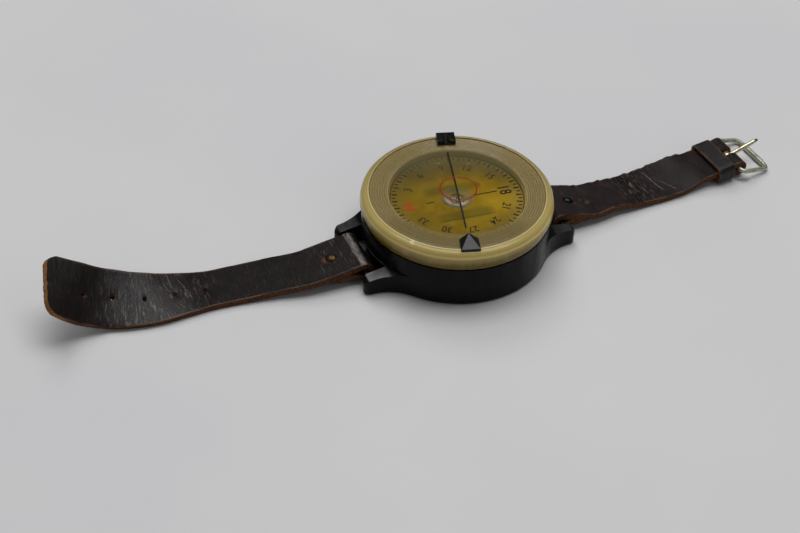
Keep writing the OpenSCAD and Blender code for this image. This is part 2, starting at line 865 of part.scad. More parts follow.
short_start = [bar_x, 0, bar_z] + tilt([short_head_l, 0, head_mid], short_droop);
short_dir = tilt([1, 0, 0], short_droop);
short_end = buckle_at + buckle_dir([-fold_straight, 0, strap_t / 2]);
short_end_dir = buckle_dir([1, 0, 0]);
short_stations = concat([[each short_start, 0]],
                        [for (s = short_route) [bar_x + s[0], s[1], s[2] + strap_t / 2, s[3]]],
                        [[each short_end, 0]]);
short_last = len(short_stations) - 1;
short_lead_gap = 2 * norm(xyz(short_stations[1]) - short_start);
short_lead = [each (xyz(short_stations[1]) - short_lead_gap * short_dir), 0];
short_near_end = xyz(short_stations[short_last - 1]);
short_trail = [each (short_near_end + 2 * norm(short_end - short_near_end) * short_end_dir), 0];
short_path = dense(short_stations, short_lead, short_trail);
short_count = len(short_path);

function short_heading(i) =
    i == 0 ? short_dir : i == short_count - 1 ? short_end_dir : heading(short_path, i);
function short_width(i) = eased_width(strap_w, buckle_strap_w, short_narrowing, short_path[i].x - bar_x);

module short_strap() {
    sections = [for (i = [0 : short_count - 1])
                    let (dir = short_heading(i), twist = short_path[i][3])
                    band_section(xyz(short_path[i]), band_side(dir, twist), band_up(dir, twist),
                                 short_width(i))];
    color([0.13, 0.09, 0.07]) {
        at_short_bar()
            strap_head(short_head_l, short_rivet_x);
        loft(concat([square_section(short_start - over * short_dir, short_dir, strap_w)], sections,
                    [square_section(short_end + over * short_end_dir, short_end_dir, buckle_strap_w)]));
        at_buckle()
            difference() {
                rotate([90, 0, 0])
                    linear_extrude(buckle_strap_w, center = true)
                        fold_outline();
                translate([-slot_back, -slot_w / 2, -fold_out_r - over])
                    cube([slot_back + fold_out_r + over, slot_w, 2 * (fold_out_r + over)]);
            }
    }
}

module short_strap_rivet() {
    color([0.07, 0.07, 0.07])
    at_short_bar()
        rivet(short_rivet_x);
}

module short_strap_burr() {
    color([0.07, 0.07, 0.07])
    at_short_bar()
        burr(short_rivet_x);
}

// Box with round long edges, lying along X from its inner end
module round_bar(l, half_w, low, high, r) {
    rotate([90, 0, 90])
        linear_extrude(l) {
            translate([-half_w + r, low])
                square([2 * (half_w - r), high - low]);
            translate([-half_w, low + r])
                square([2 * half_w, high - low - 2 * r]);
            for (x = [-half_w + r, half_w - r], y = [low + r, high - r])
                translate([x, y])
                    circle(r, $fn = 32);
        }
}

module keeper() {
    half = buckle_strap_w / 2 + keeper_gap;
    inner_round = 0.6;
    color([0.14, 0.09, 0.07])
    at_buckle()
        translate([-keeper_inner_x, 0, 0])
            difference() {
                round_bar(keeper_l, half + keeper_t, -keeper_low - keeper_t, keeper_high + keeper_t,
                          inner_round + keeper_t);
                translate([-over, 0, 0])
                    round_bar(keeper_l + 2 * over, half, -keeper_low, keeper_high, inner_round);
            }
}

// Buckle: a closed wire frame with bent corners, and its tongue
module in_buckle_plane() {
    at_buckle()
        rotate([0, buckle_dip, 0])
            children();
}

frame_corners = [[0, -buckle_half_w], [buckle_l, -buckle_tip_half_w],
                 [buckle_l, buckle_tip_half_w], [0, buckle_half_w]];

// Straight wire between two points of the frame's plane, run a little past both
module wire(a, b) {
    translate([a.x, a.y, 0])
        rotate([0, 90, atan2(b.y - a.y, b.x - a.x)])
            translate([0, 0, -wire_lap])
                cylinder(r = wire_r - wire_skin, h = norm(b - a) + 2 * wire_lap, $fn = 32);
}

// Wire bent round one corner of the frame
module wire_bend(before, corner, after) {
    way_in = unit(corner - before);
    way_out = unit(after - corner);
    turn = acos(way_in * way_out);
    start = corner - way_in * buckle_bend * tan(turn / 2);
    centre = start + buckle_bend * [-way_in.y, way_in.x];
    translate([centre.x, centre.y, 0])
        rotate([0, 0, atan2(start.y - centre.y, start.x - centre.x)])
            rotate_extrude(angle = turn, $fn = 96)
                translate([buckle_bend, 0])
                    circle(wire_r, $fn = 32);
}

// Where the straight wire ends beside a corner
function bend_start(from, corner, next) =
    corner - unit(corner - from) * buckle_bend * tan(acos(unit(corner - from) * unit(next - corner)) / 2);

module buckle_frame() {
    count = len(frame_corners);
    color([0.62, 0.62, 0.54])
    in_buckle_plane() {
        for (i = [0 : count - 1]) {
            before = frame_corners[(i + count - 1) % count];
            corner = frame_corners[i];
            after = frame_corners[(i + 1) % count];
            beyond = frame_corners[(i + 2) % count];
            wire_bend(before, corner, after);
            wire(bend_start(after, corner, before), bend_start(corner, after, beyond));
        }
        outer_half = buckle_tip_half_w - 2 * buckle_bend;
        translate([buckle_l, -outer_half, 0])
            rotate([-90, 0, 0])
                cylinder(r = outer_bar_r, h = 2 * outer_half, $fn = 32);
    }
}

module buckle_tongue() {
    tip_l = 2;
    tip_r = 0.3;
    root = (eye_r + eye_out_r) / 2;
    color([0.75, 0.66, 0.42])
    in_buckle_plane()
        rotate([0, -tongue_lift, 0])
            difference() {
                union() {
                    rotate([90, 0, 0])
                        cylinder(r = eye_out_r, h = eye_w, center = true, $fn = 48);
                    translate([root, 0, 0])
                        rotate([0, 90, 0])
                            cylinder(r = tongue_r, h = tongue_l - tip_l - root, $fn = 32);
                    translate([tongue_l - tip_l, 0, 0])
                        rotate([0, 90, 0])
                            cylinder(r1 = tongue_r, r2 = tip_r, h = tip_l, $fn = 32);
                }
                rotate([90, 0, 0])
                    cylinder(r = eye_r, h = eye_w + 2 * over, center = true, $fn = 48);
            }
}

case();
strap_bars();
retaining_ring();
capsule_bowl();
capsule_cap();
seal_ring();
sight_point();
sight_notch();
filler_plug();
pivot_post();
pivot_needle();
compass_card();
float_hub();
jewel_cup();
magnet_cradle();
magnets();
hub_nut();
long_strap();
long_strap_rivet();
long_strap_burr();
short_strap();
short_strap_rivet();
short_strap_burr();
keeper();
buckle_frame();
buckle_tongue();
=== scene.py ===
# %% [markdown]
# # A wrist compass on a leather strap
# A pilot's liquid-filled compass: a turning capsule with a floating card, in a black case on a leather
# strap. The fixed frame comes from the construction model. This notebook gives it finishes, and models the
# leather, the buckle, the dial's printing and the moulded rim on top of it. All sizes are millimetres until
# a piece is placed. Only the stage is laid out in metres.

# %% Load the frame
from bisect import bisect_right
from math import atan2, cos, exp, hypot, pi, radians, sin, sqrt, tan

import bpy
from mathutils import Matrix, Vector, noise


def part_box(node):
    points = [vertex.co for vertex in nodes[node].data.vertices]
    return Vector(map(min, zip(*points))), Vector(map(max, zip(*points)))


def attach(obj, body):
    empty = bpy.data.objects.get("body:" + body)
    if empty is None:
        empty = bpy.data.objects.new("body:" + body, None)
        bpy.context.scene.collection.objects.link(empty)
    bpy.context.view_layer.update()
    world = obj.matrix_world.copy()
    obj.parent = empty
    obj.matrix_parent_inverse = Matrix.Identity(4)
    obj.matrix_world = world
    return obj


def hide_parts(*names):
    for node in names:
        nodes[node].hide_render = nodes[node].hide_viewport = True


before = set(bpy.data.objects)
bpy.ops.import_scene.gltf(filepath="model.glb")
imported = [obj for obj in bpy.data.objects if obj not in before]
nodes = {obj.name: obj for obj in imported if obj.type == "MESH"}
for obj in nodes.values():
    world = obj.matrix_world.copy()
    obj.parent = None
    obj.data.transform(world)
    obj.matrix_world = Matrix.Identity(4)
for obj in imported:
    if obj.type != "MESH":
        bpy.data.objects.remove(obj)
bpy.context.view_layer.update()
bpy.ops.object.select_all(action="DESELECT")
MM = 0.001
print("frame:", len(nodes), "pieces")

# %% [markdown]
# ## Small helpers
# Blender's operators work on the selected object, so one helper selects a piece and others use it. Pieces
# are modelled in millimetres, where bevels and booleans behave well, and scaled to metres at the end.


# %% Helpers for modelling
def only(piece):
    """Makes one piece the selected and active object."""
    bpy.ops.object.select_all(action="DESELECT")
    piece.select_set(True)
    bpy.context.view_layer.objects.active = piece


def added(name, data):
    """A new object in the scene."""
    piece = bpy.data.objects.new(name, data)
    bpy.context.scene.collection.objects.link(piece)
    return piece


def named(name):
    """Names the object that an operator has just made."""
    piece = bpy.context.object
    piece.name = piece.data.name = name
    return piece


def settle(piece):
    """Works the object's own place, turn and scale into its mesh."""
    only(piece)
    bpy.ops.object.transform_apply(location=True, rotation=True, scale=True)


def apply_modifier(piece, kind, **settings):
    only(piece)
    modifier = piece.modifiers.new(kind.lower(), kind)
    for key, value in settings.items():
        setattr(modifier, key, value)
    bpy.ops.object.modifier_apply(modifier=modifier.name)


def bevel(piece, width, segments, degrees):
    """Rounds the edges that are sharper than an angle."""
    apply_modifier(piece, "BEVEL", width=width, segments=segments, limit_method="ANGLE",
                   angle_limit=radians(degrees))


def smooth(piece, degrees):
    """Shades smoothly, except across edges that are sharper than an angle."""
    only(piece)
    bpy.ops.object.shade_smooth_by_angle(angle=radians(degrees))


def join(pieces, name):
    only(pieces[0])
    for piece in pieces:
        piece.select_set(True)
    bpy.ops.object.join()
    return named(name)


def coat(piece, finish):
    piece.data.materials.clear()
    piece.data.materials.append(finish.material)


def place(piece, body, finish, slot, replaced=()):
    """Gives a finished piece its finish and its place in the frame."""
    if finish:
        coat(piece, finish)
    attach(piece, body)
    if replaced:
        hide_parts(*replaced)
    print("made", piece.name, len(piece.data.polygons), "faces")


def complete(piece, degrees, *placing):
    """Smooths a piece, if it has an angle for that, scales it to metres and places it."""
    if degrees:
        smooth(piece, degrees)
    piece.scale = (MM, MM, MM)
    settle(piece)
    place(piece, *placing)


def arc(middle_x, middle_y, radius, degrees, tall=1.0):
    """Points round a middle. A tall arc is stretched along its second axis."""
    turns = [radians(a) for a in degrees]
    return [(middle_x + radius * cos(a), middle_y + tall * radius * sin(a)) for a in turns]


def turned(name, outline, steps=160):
    """Spins a closed outline of (radius, height) points round the upright axis, as on a lathe."""
    bpy.ops.mesh.primitive_plane_add(size=1)
    piece = named(name)
    bpy.ops.object.mode_set(mode="EDIT")
    bpy.ops.mesh.select_all(action="SELECT")
    bpy.ops.mesh.merge(type="CENTER")
    radius, height = outline[0]
    bpy.ops.transform.translate(value=(radius, 0, height))
    for next_radius, next_height in outline[1:] + outline[:1]:
        step = (next_radius - radius, 0, next_height - height)
        bpy.ops.mesh.extrude_vertices_move(TRANSFORM_OT_translate={"value": step})
        radius, height = next_radius, next_height
    bpy.ops.mesh.select_all(action="SELECT")
    bpy.ops.mesh.spin(steps=steps, angle=2 * pi, center=(0, 0, 0), axis=(0, 0, 1))
    bpy.ops.mesh.select_all(action="SELECT")
    bpy.ops.mesh.remove_doubles(threshold=0.001)
    bpy.ops.mesh.normals_make_consistent(inside=False)
    bpy.ops.object.mode_set(mode="OBJECT")
    return piece


# %% [markdown]
# ## Stage, camera and light
# The photograph was taken from above on a pale table, with soft light from above and a little behind. A
# wide light overhead, one behind for the shadows, weak ones on the left and in front and a dim even sky
# give that look. The camera stands where the photographer stood. The floor lies a hair below the table
# plane, so that it never shares a face with the case.

# %% Floor, camera, lights
FLOOR_Z = -0.00005
bpy.ops.mesh.primitive_plane_add(size=6, location=(0, 0, FLOOR_Z))
floor = named("floor")

camera_data = bpy.data.cameras.new("camera")
camera_data.lens = 81
camera_data.sensor_width = 36
camera_data.clip_start = 0.01
camera = added("camera", camera_data)
camera_right = Vector((0.9238, -0.3817, 0.0288)).normalized()
camera_back = Vector((-0.3044, -0.6868, 0.6600)).normalized()
camera_up = camera_back.cross(camera_right)
camera_place = Vector((-0.19224, -0.39195, 0.37196))
camera_turn = Matrix((camera_right, camera_up, camera_back)).transposed().to_4x4()
camera.matrix_world = Matrix.Translation(camera_place) @ camera_turn
bpy.context.scene.camera = camera


def area_light(name, place_at, width, depth, power, shines=True):
    """A soft oval light that looks at the origin. One that doesn't shine gives no reflection."""
    data = bpy.data.lights.new(name, "AREA")
    data.shape = "ELLIPSE"
    data.size = width
    data.size_y = depth
    data.energy = power
    light = added(name, data)
    light.location = place_at
    light.rotation_euler = (-Vector(place_at)).to_track_quat("-Z", "Y").to_euler()
    light.visible_glossy = shines


area_light("ceiling_light", (0.25, 0.3, 1.8), 2.0, 1.1, 24)
area_light("back_light", (0.1, 1.3, 1.35), 0.8, 0.8, 7.5, False)
area_light("left_light", (-0.95, -0.55, 0.85), 0.5, 0.5, 0.3)
area_light("front_light", (0.5, -1.1, 0.75), 0.8, 0.8, 1.2, False)
world = bpy.data.worlds.new("sky")
bpy.context.scene.world = world
world.use_nodes = True
sky = world.node_tree.nodes["Background"].inputs
sky["Color"].default_value = (0.97, 0.98, 1.0, 1)
sky["Strength"].default_value = 0.12
bpy.context.scene.view_settings.view_transform = "Standard"

# %% [markdown]
# ## Finishes
# Every finish is built from noise and simple sums, so it has grain, wear and dust at the right scale, and
# some also carry painted light and shade. A small class wraps a node's output, so that sums of textures can
# be written like ordinary sums.

# %% Tools for finishes
PATTERN_SPAN = 100  # millimetres of flat leather in one unit of its pattern


class Value:
    """One output in a finish. Plain sums of outputs make math nodes."""

    def __init__(self, finish, socket):
        self.finish = finish
        self.socket = socket

    def __add__(self, other):
        return self.finish.math("ADD", self, other)

    def __radd__(self, other):
        return self.finish.math("ADD", other, self)

    def __sub__(self, other):
        return self.finish.math("SUBTRACT", self, other)

    def __rsub__(self, other):
        return self.finish.math("SUBTRACT", other, self)

    def __mul__(self, other):
        return self.finish.math("MULTIPLY", self, other)

    def __rmul__(self, other):
        return self.finish.math("MULTIPLY", other, self)

    def __abs__(self):
        return self.finish.math("ABSOLUTE", self)

    def range(self, low, high, to_low=0.0, to_high=1.0):
        """Eases from one result to another while this goes from low to high."""
        limits = {"Value": self, "From Min": low, "From Max": high, "To Min": to_low, "To Max": to_high}
        return self.finish.node("ShaderNodeMapRange", limits, interpolation_type="SMOOTHSTEP")

    def fade(self, low, high, start=1.0):
        """Eases from a start to nothing."""
        return self.range(low, high, start, 0.0)

    def mix(self, first, second):
        """Mixes two colours. This is the share of the second."""
        shares = {0: self, 6: first, 7: second}
        return self.finish.node("ShaderNodeMix", shares, 2, data_type="RGBA")


class Finish:
    """A material with its Principled shader, and short names for the nodes that feed it."""

    def __init__(self, name, **constants):
        self.material = bpy.data.materials.new(name)
        self.material.use_nodes = True
        self.tree = self.material.node_tree
        self.shader = self.tree.nodes["Principled BSDF"]
        self.set(**constants)

    def node(self, kind, inputs, output=0, **settings):
        node = self.tree.nodes.new(kind)
        for key, value in settings.items():
            setattr(node, key, value)
        for key, value in inputs.items():
            self.feed(node.inputs[key], value)
        return Value(self, node.outputs[output])

    def feed(self, socket, value):
        if isinstance(value, Value):
            self.tree.links.new(value.socket, socket)
        elif socket.type == "RGBA" and len(value) == 3:
            socket.default_value = (*value, 1)
        else:
            socket.default_value = value

    def set(self, **inputs):
        """Feeds the shader. Its Base Color is base_color here."""
        for key, value in inputs.items():
            name = key.replace("_", " ").title().replace("Ior", "IOR")
            self.feed(self.shader.inputs[name], value)

    def math(self, operation, *values):
        return self.node("ShaderNodeMath", dict(enumerate(values)), operation=operation)

    def place(self, kind="Object", scale=(1, 1, 1), turn=0):
        """Coordinates on the piece, in millimetres, or in its flat pattern for kind UV."""
        unit = 1 / MM if kind == "Object" else PATTERN_SPAN
        raw = self.node("ShaderNodeTexCoord", {}, kind)
        size, spin = tuple(unit * s for s in scale), (0, 0, radians(turn))
        return self.node("ShaderNodeMapping", {"Vector": raw, "Scale": size, "Rotation": spin})

    def noise(self, vector, scale, detail=3, roughness=0.55, distortion=0):
        return self.node("ShaderNodeTexNoise", {"Vector": vector, "Scale": scale, "Detail": detail,
                                                "Roughness": roughness, "Distortion": distortion})

    def axes(self, vector):
        node = self.tree.nodes.new("ShaderNodeSeparateXYZ")
        self.feed(node.inputs[0], vector)
        return [Value(self, output) for output in node.outputs]

    def bump(self, height, depth):
        """Small relief. Depth is in millimetres."""
        relief = {"Height": height, "Distance": depth * MM, "Strength": 1.0}
        self.set(normal=self.node("ShaderNodeBump", relief))


def distance(first, second):
    """How far a spot is from where both are nought."""
    return first.finish.math("SQRT", first * first + second * second)


def nearness(east, north):
    """How far a spot is from the middle, towards the photographer."""
    return -0.4 * east - 0.92 * north


def rgb(red, green, blue):
    """A colour from its everyday 0 to 255 values."""
    return tuple(((c / 255 + 0.055) / 1.055) ** 2.4 if c > 10 else c / 255 / 12.92
                 for c in (red, green, blue))


def shaded(tone, times, plus=0.0):
    return tuple(times * c + plus for c in tone)


# %% Finish: table top
table = Finish("table_top", roughness=0.55)
spot = table.place()
mottle = table.noise(spot, 0.006, 4).range(0.3, 0.7)
table.set(base_color=mottle.mix(rgb(202, 202, 204), rgb(208, 208, 208)))
table.bump(table.noise(spot, 0.8, 4), 0.01)
floor.data.materials.append(table.material)

# %% Finish: hard black plastic of the case and sights
LUG_FROM_X, LUG_TIP_X, LUG_NOSE_H, LUG_SLOPE = 27.5, 34.8, 5.9, 0.176


def black_plastic(name, rough_low, rough_high, gloss):
    """Dusty black plastic, with a painted highlight on the tops of the lugs, most of all near left."""
    finish = Finish(name, specular_ior_level=gloss)
    spot = finish.place()
    cloudy = finish.noise(spot, 0.18, 5, 0.6)
    speck = finish.noise(spot, 2.6, 2, 0.4).range(0.68, 0.76)
    shade = cloudy.range(0.35, 0.7).mix(rgb(8, 8, 9), rgb(14, 14, 15))
    shade = (speck * 0.2).mix(shade, rgb(62, 60, 56))
    east, north, height = finish.axes(spot)
    outward = abs(east)
    lug_top = LUG_NOSE_H + (LUG_TIP_X - outward) * LUG_SLOPE
    on_lug = outward.range(LUG_FROM_X, LUG_FROM_X + 1.5) * abs(height - lug_top).fade(0.1, 0.35)
    # Painted highlight: the tops of the lugs are painted pale grey, most of all on the near left lug, in
    # place of the lamp's reflection.
    wear_and_sheen = on_lug * cloudy.range(0.3, 0.62, 0.45, 0.9)
    wear_and_sheen = wear_and_sheen * east.range(-2, 2, 1.0, 0.15) * north.range(-2, 2, 1.0, 0.2)
    finish.set(base_color=wear_and_sheen.mix(shade, rgb(122, 122, 124)))
    finish.set(roughness=cloudy.range(0.3, 0.7, rough_low, rough_high))
    finish.bump(finish.noise(spot, 0.9, 5, 0.65), 0.008)
    return finish


case_finish = black_plastic("case_black", 0.18, 0.32, 0.12)
sight_finish = black_plastic("sight_black", 0.2, 0.32, 0.3)

# %% Finish: yellowed cream plastic of the rim and bowl, with painted light and shade
RIM_FOOT_Z, RIM_BAND_Z, RIDGE_R = 14.2, 18.95, 27.8
CHIP_AT = (-22.4, -17.2)


def cream_plastic(name, low_tone, high_tone, shelf_tone, rough, chip=None):
    """Yellowed plastic, with fine turned rings on its inner shelf. Painted shade darkens it low down, where
    less light gets into it, and on the far side. Painted highlights lie on a band round its side, on the
    ridge and on the shelf's rings, with a painted light line along its foot. A chip is a broken spot on the
    ridge, at an x and a y."""
    finish = Finish(name, specular_ior_level=0.28, subsurface_weight=0.5, subsurface_scale=4 * MM)
    finish.set(subsurface_radius=(1.0, 0.75, 0.3))
    spot = finish.place()
    east, north, height = finish.axes(spot)
    from_axis = distance(east, north)
    cloudy = finish.noise(spot, 0.13, 5, 0.6)
    fine = finish.noise(spot, 1.6, 4, 0.7)
    streak = finish.noise(finish.place(scale=(1, 1, 0.12)), 0.7, 3, 0.6)
    # Painted shade: the upper tone is darker on the far side, and the painted highlights below are kept to
    # the near side.
    far_side_shade = nearness(east, north).fade(-24, 16, 0.85)
    high = far_side_shade.mix(high_tone, shaded(high_tone, 0.5))
    # Painted shade: the rim is darker low down and lighter high up.
    level = height + 1.6 * (cloudy - 0.5) + 1.3 * (streak - 0.5)
    shade = level.range(15.6, 18.8).mix(low_tone, high)
    # Painted highlight: a pale band round the rim's side at RIM_BAND_Z, on the near side.
    off_band = abs(height - RIM_BAND_Z + 0.5 * (cloudy - 0.5))
    band_highlight = off_band.fade(0.1, 0.65, 0.6) * (1 - far_side_shade)
    shade = band_highlight.mix(shade, shaded(high_tone, 1.8, 0.05))
    # Painted light: a thin lighter line along the foot of the rim.
    shade = height.fade(RIM_FOOT_Z, RIM_FOOT_Z + 0.5, 0.4).mix(shade, high_tone)
    on_shelf = from_axis.fade(27.5, RIDGE_R) * height.range(19.4, 19.8)
    shade = on_shelf.mix(shade, shelf_tone)
    # Painted highlights: pale lines on the turned rings of the shelf, and a pale line along its inner edge.
    wave = finish.math("SINE", (from_axis + 0.12 * cloudy) * 8.2)
    pale = shaded(shelf_tone, 1.5, 0.05)
    ring_glints = on_shelf * wave.range(0.45, 1.0) * streak.range(0.3, 0.6, 0.25, 0.7)
    shade = ring_glints.mix(shade, pale)
    shade = (on_shelf * from_axis.fade(21.75, 22.05, 0.9)).mix(shade, pale)
    # Painted highlight: a pale line along the ridge, on the near side.
    ridge_highlight = abs(from_axis - RIDGE_R).fade(0.06, 0.26, 0.5) * height.range(20.3, 20.6)
    shade = (ridge_highlight * (1 - far_side_shade)).mix(shade, rgb(226, 214, 168))
    relief = cloudy + 0.2 * fine
    if chip:
        off_chip = distance(east - chip[0], north - chip[1]) + 1.6 * fine + 1.2 * streak
        chipped = off_chip.fade(1.7, 2.6) * height.range(19.6, 20.2)
        broken = 0.75 * chipped * fine.range(0.35, 0.6, 0.3, 1.0)
        shade = broken.mix(shade, rgb(232, 222, 186))
        relief = relief - 9 * chipped * fine
    dirt = fine.range(0.62, 0.85) * 0.2
    finish.set(base_color=dirt.mix(shade, shaded(low_tone, 0.6)))
    finish.set(roughness=fine.range(0.3, 0.75, rough - 0.06, rough + 0.1))
    finish.bump(relief, 0.012)
    return finish


rim_finish = cream_plastic("rim_cream", rgb(104, 84, 20), rgb(178, 160, 98),
                           rgb(127, 112, 72), 0.16, CHIP_AT)
bowl_finish = cream_plastic("bowl_cream", rgb(104, 86, 34), rgb(140, 122, 66), rgb(128, 110, 60), 0.36)

# %% Finish: clear window, hazy towards its edge, with painted shade over the dial
clear = Finish("window_clear", ior=1.45, specular_ior_level=0.3)
spot = clear.place()
east, north, _ = clear.axes(spot)
near = nearness(east, north)
scuffs = clear.noise(clear.place(scale=(1, 0.25, 1), turn=25), 1.1, 6, 0.7)
cloudy = clear.noise(spot, 0.12, 4)
from_axis = distance(east, north)
over_dial = from_axis.fade(20.6, 21.8)
over_shelf = from_axis.range(20.4, 21.4) * from_axis.fade(25.0, 27.2)
shelf_haze = (near + 3 * cloudy).range(13, 20, 0.0, 0.5)
# Painted shade: darker tints over the near, far and left parts of the dial, by their direction from the
# middle.
near_dial_shade = (near + 3 * cloudy).range(4, 14, 0.0, 0.1)
far_dial_shade = (3 * cloudy - near).range(5, 17, 0.0, 0.34)
left_dial_shade = (3 * cloudy - east).range(-4, 12, 0.0, 0.16) * near.range(1, 10, 1.0, 0.1)
haze_and_shade = shelf_haze * over_shelf + (near_dial_shade + far_dial_shade + left_dial_shade) * over_dial
# The painted shade's colour: greyish on the far side, brown on the near side.
dial_shade_tone = near.range(-10, 8).mix(rgb(104, 97, 66), rgb(84, 70, 30))
clear.set(base_color=over_dial.mix(rgb(134, 118, 74), dial_shade_tone))
clear.set(alpha=haze_and_shade + scuffs.range(0.58, 0.8, 0.02, 0.09))
clear.set(roughness=scuffs.range(0.35, 0.7, 0.06, 0.2))
clear.bump(cloudy, 0.02)

# %% Finish: painted card, with painted shadows where the magnets show through
CARD_NORTH = 175
MAGNET_LINE_Y, MAGNET_APART, MAGNET_EDGE_Y = 1.6, 6.4, 10.0
STAIN_X, STAIN_Y, STAIN_R = 8.8, 3.9, 0.75
card_face = Finish("card_paint", roughness=0.6, specular_ior_level=0.12)
along, across, _ = card_face.axes(card_face.place(turn=-CARD_NORTH))
spot = card_face.place()
east, north, _ = card_face.axes(spot)
blotch = card_face.noise(spot, 0.14, 5, 0.62)
paint = blotch.range(0.3, 0.7).mix(rgb(164, 134, 22), rgb(140, 110, 12))
# Painted shadows of the two magnets under the card, darkening it in two soft bands.
off_magnet = abs(abs(across - MAGNET_LINE_Y) - MAGNET_APART)
shadow_side = (off_magnet + 1.6 * blotch).fade(1.3, 3.8)
shadow_end = (abs(along) + 2.5 * blotch).fade(8.0, 11.5)
paint = (0.58 * shadow_side * shadow_end).mix(paint, rgb(88, 84, 20))
# Painted shade: the card is darker and greyer towards its edge.
edge_shade = distance(along, across).range(13, 20.5, 0.0, 0.55)
paint = edge_shade.mix(paint, rgb(122, 106, 52))
# Painted shade: a dark line along the outer edge of one magnet's shadow.
off_edge = abs(across - MAGNET_EDGE_Y + 0.5 * blotch)
paint = (off_edge.fade(0.1, 0.6, 0.55) * shadow_end).mix(paint, rgb(58, 54, 22))
off_stain = abs(distance(east - STAIN_X, north - STAIN_Y) - STAIN_R + 0.3 * blotch)
paint = off_stain.fade(0.15, 0.6, 0.5).mix(paint, rgb(92, 66, 22))
card_face.set(base_color=paint)
card_face.bump(card_face.noise(spot, 2.2, 3), 0.01)


# %% Finish: printing inks
def ink(name, tone):
    finish = Finish(name, roughness=0.5, specular_ior_level=0.25)
    worn = finish.noise(finish.place(), 1.7, 4).range(0.55, 0.8)
    finish.set(base_color=(worn * 0.4).mix(tone, shaded(tone, 1.8, 0.01)))
    return finish


black_ink = ink("ink_black", rgb(22, 19, 12))
red_ink = ink("ink_red", rgb(202, 74, 20))
ring_ink = ink("ink_ring", rgb(138, 20, 12))
pale_ink = ink("ink_pale", rgb(196, 178, 96))

# %% Finish: clear hub, with two soft arcs of light
hub_clear = Finish("hub_clear", ior=1.5, roughness=0.06)
spot = hub_clear.place()
east, north, _ = hub_clear.axes(spot)
from_axis = distance(east, north)
swirl = hub_clear.noise(spot, 0.62, 3)
lit_side = (-0.6 * east - 0.8 * north).range(0.4, 2.6)
outer_arc = abs(from_axis - 3.9 + 0.8 * (swirl - 0.5)).fade(0.12, 0.6, 0.9)
inner_arc = abs(from_axis - 2.3 + 0.9 * (swirl - 0.5)).fade(0.1, 0.5, 0.6)
glint = (outer_arc + inner_arc) * lit_side * swirl.range(0.34, 0.6, 0.35, 1.0)
# Painted sheen: the hub is paler towards its edge and over the flange.
tone = from_axis.range(1.6, 4.6).mix(rgb(170, 156, 96), rgb(206, 196, 150))
hub_clear.set(base_color=glint.mix(tone, rgb(238, 236, 222)))
body_alpha = from_axis.range(4.2, 4.8, 0.3, 0.16) + 0.2 * (swirl - 0.5)
hub_clear.set(alpha=body_alpha + 0.42 * glint)
hub_clear.bump(swirl, 0.12)


# %% Finish: metals
def metal(name, clean, dull, rough, dull_low=0.45, dull_high=0.7, relief=0.02):
    """Metal with duller, rougher patches of tarnish."""
    finish = Finish(name, metallic=1.0)
    spot = finish.place()
    tarnish = finish.noise(spot, 0.7, 5, 0.65).range(dull_low, dull_high)
    finish.tone = tarnish.mix(clean, dull)
    finish.set(base_color=finish.tone)
    wear_and_sheen = finish.noise(spot, 1.9, 4).range(0.3, 0.7, rough - 0.08, rough + 0.14)
    finish.set(roughness=wear_and_sheen + 0.15 * tarnish)
    finish.bump(finish.noise(spot, 3.5, 4, 0.7), relief)
    return finish


nickel = metal("nickel_worn", rgb(198, 200, 182), rgb(150, 154, 130), 0.46)
brass = metal("brass_worn", rgb(214, 194, 146), rgb(150, 122, 76), 0.26)
bar_metal = metal("bar_dark", rgb(34, 34, 35), rgb(22, 21, 20), 0.5)
rivet_brass = metal("rivet_brass", rgb(92, 72, 48), rgb(50, 38, 28), 0.42, 0.4, 0.62)
steel = metal("steel_dark", rgb(120, 120, 122), rgb(74, 72, 70), 0.36)
rivet_black = black_plastic("rivet_black", 0.08, 0.14, 0.14)
rubber = black_plastic("seal_black", 0.6, 0.8, 0.3)
jewel = metal("jewel_red", rgb(160, 40, 60), rgb(110, 24, 40), 0.2)

# %% Finish: buckle's tongue, with a dark tip
tongue_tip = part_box("buckle_tongue")[1][0] / MM
tongue_brass = metal("tongue_brass", rgb(216, 206, 178), rgb(170, 152, 116), 0.34, relief=0.003)
east, _, _ = tongue_brass.axes(tongue_brass.place())
at_tip = east.range(tongue_tip - 1.8, tongue_tip - 0.6)
tongue_brass.set(base_color=at_tip.mix(tongue_brass.tone, rgb(66, 58, 48)))

# %% Put the finishes on the construction pieces
plain_pieces = [
    (bar_metal, "strap_bars"), (bowl_finish, "capsule_bowl"), (rubber, "seal_ring"), (brass, "pivot_post"),
    (card_face, "compass_card"), (hub_clear, "float_hub"), (jewel, "jewel_cup"),
    (steel, "retaining_ring", "pivot_needle", "magnets"),
    (rivet_brass, "filler_plug", "magnet_cradle", "hub_nut", "long_strap_rivet", "long_strap_burr"),
    (rivet_black, "short_strap_rivet", "short_strap_burr")]
for finish, *node_names in plain_pieces:
    for node_name in node_names:
        coat(nodes[node_name], finish)

# %% [markdown]
# ## Case and sights with soft edges
# The case and the sights are moulded and worn, so none of their edges is sharp, and the edges catch the
# light. A copy of the construction piece is merged into flat faces, and a bevel with a few steps rounds its
# edges.


# %% Case and sights
def softened(node_name, name, width, finish, body, slot, degrees=30):
    piece = added(name, nodes[node_name].data.copy())
    piece.data.transform(Matrix.Scale(1 / MM, 4))
    only(piece)
    bpy.ops.object.mode_set(mode="EDIT")
    bpy.ops.mesh.select_all(action="SELECT")
    bpy.ops.mesh.remove_doubles(threshold=0.002)
    bpy.ops.mesh.dissolve_limited(angle_limit=radians(0.5))
    bpy.ops.object.mode_set(mode="OBJECT")
    bevel(piece, width, 3, degrees)
    complete(piece, 40, body, finish, slot, [node_name])


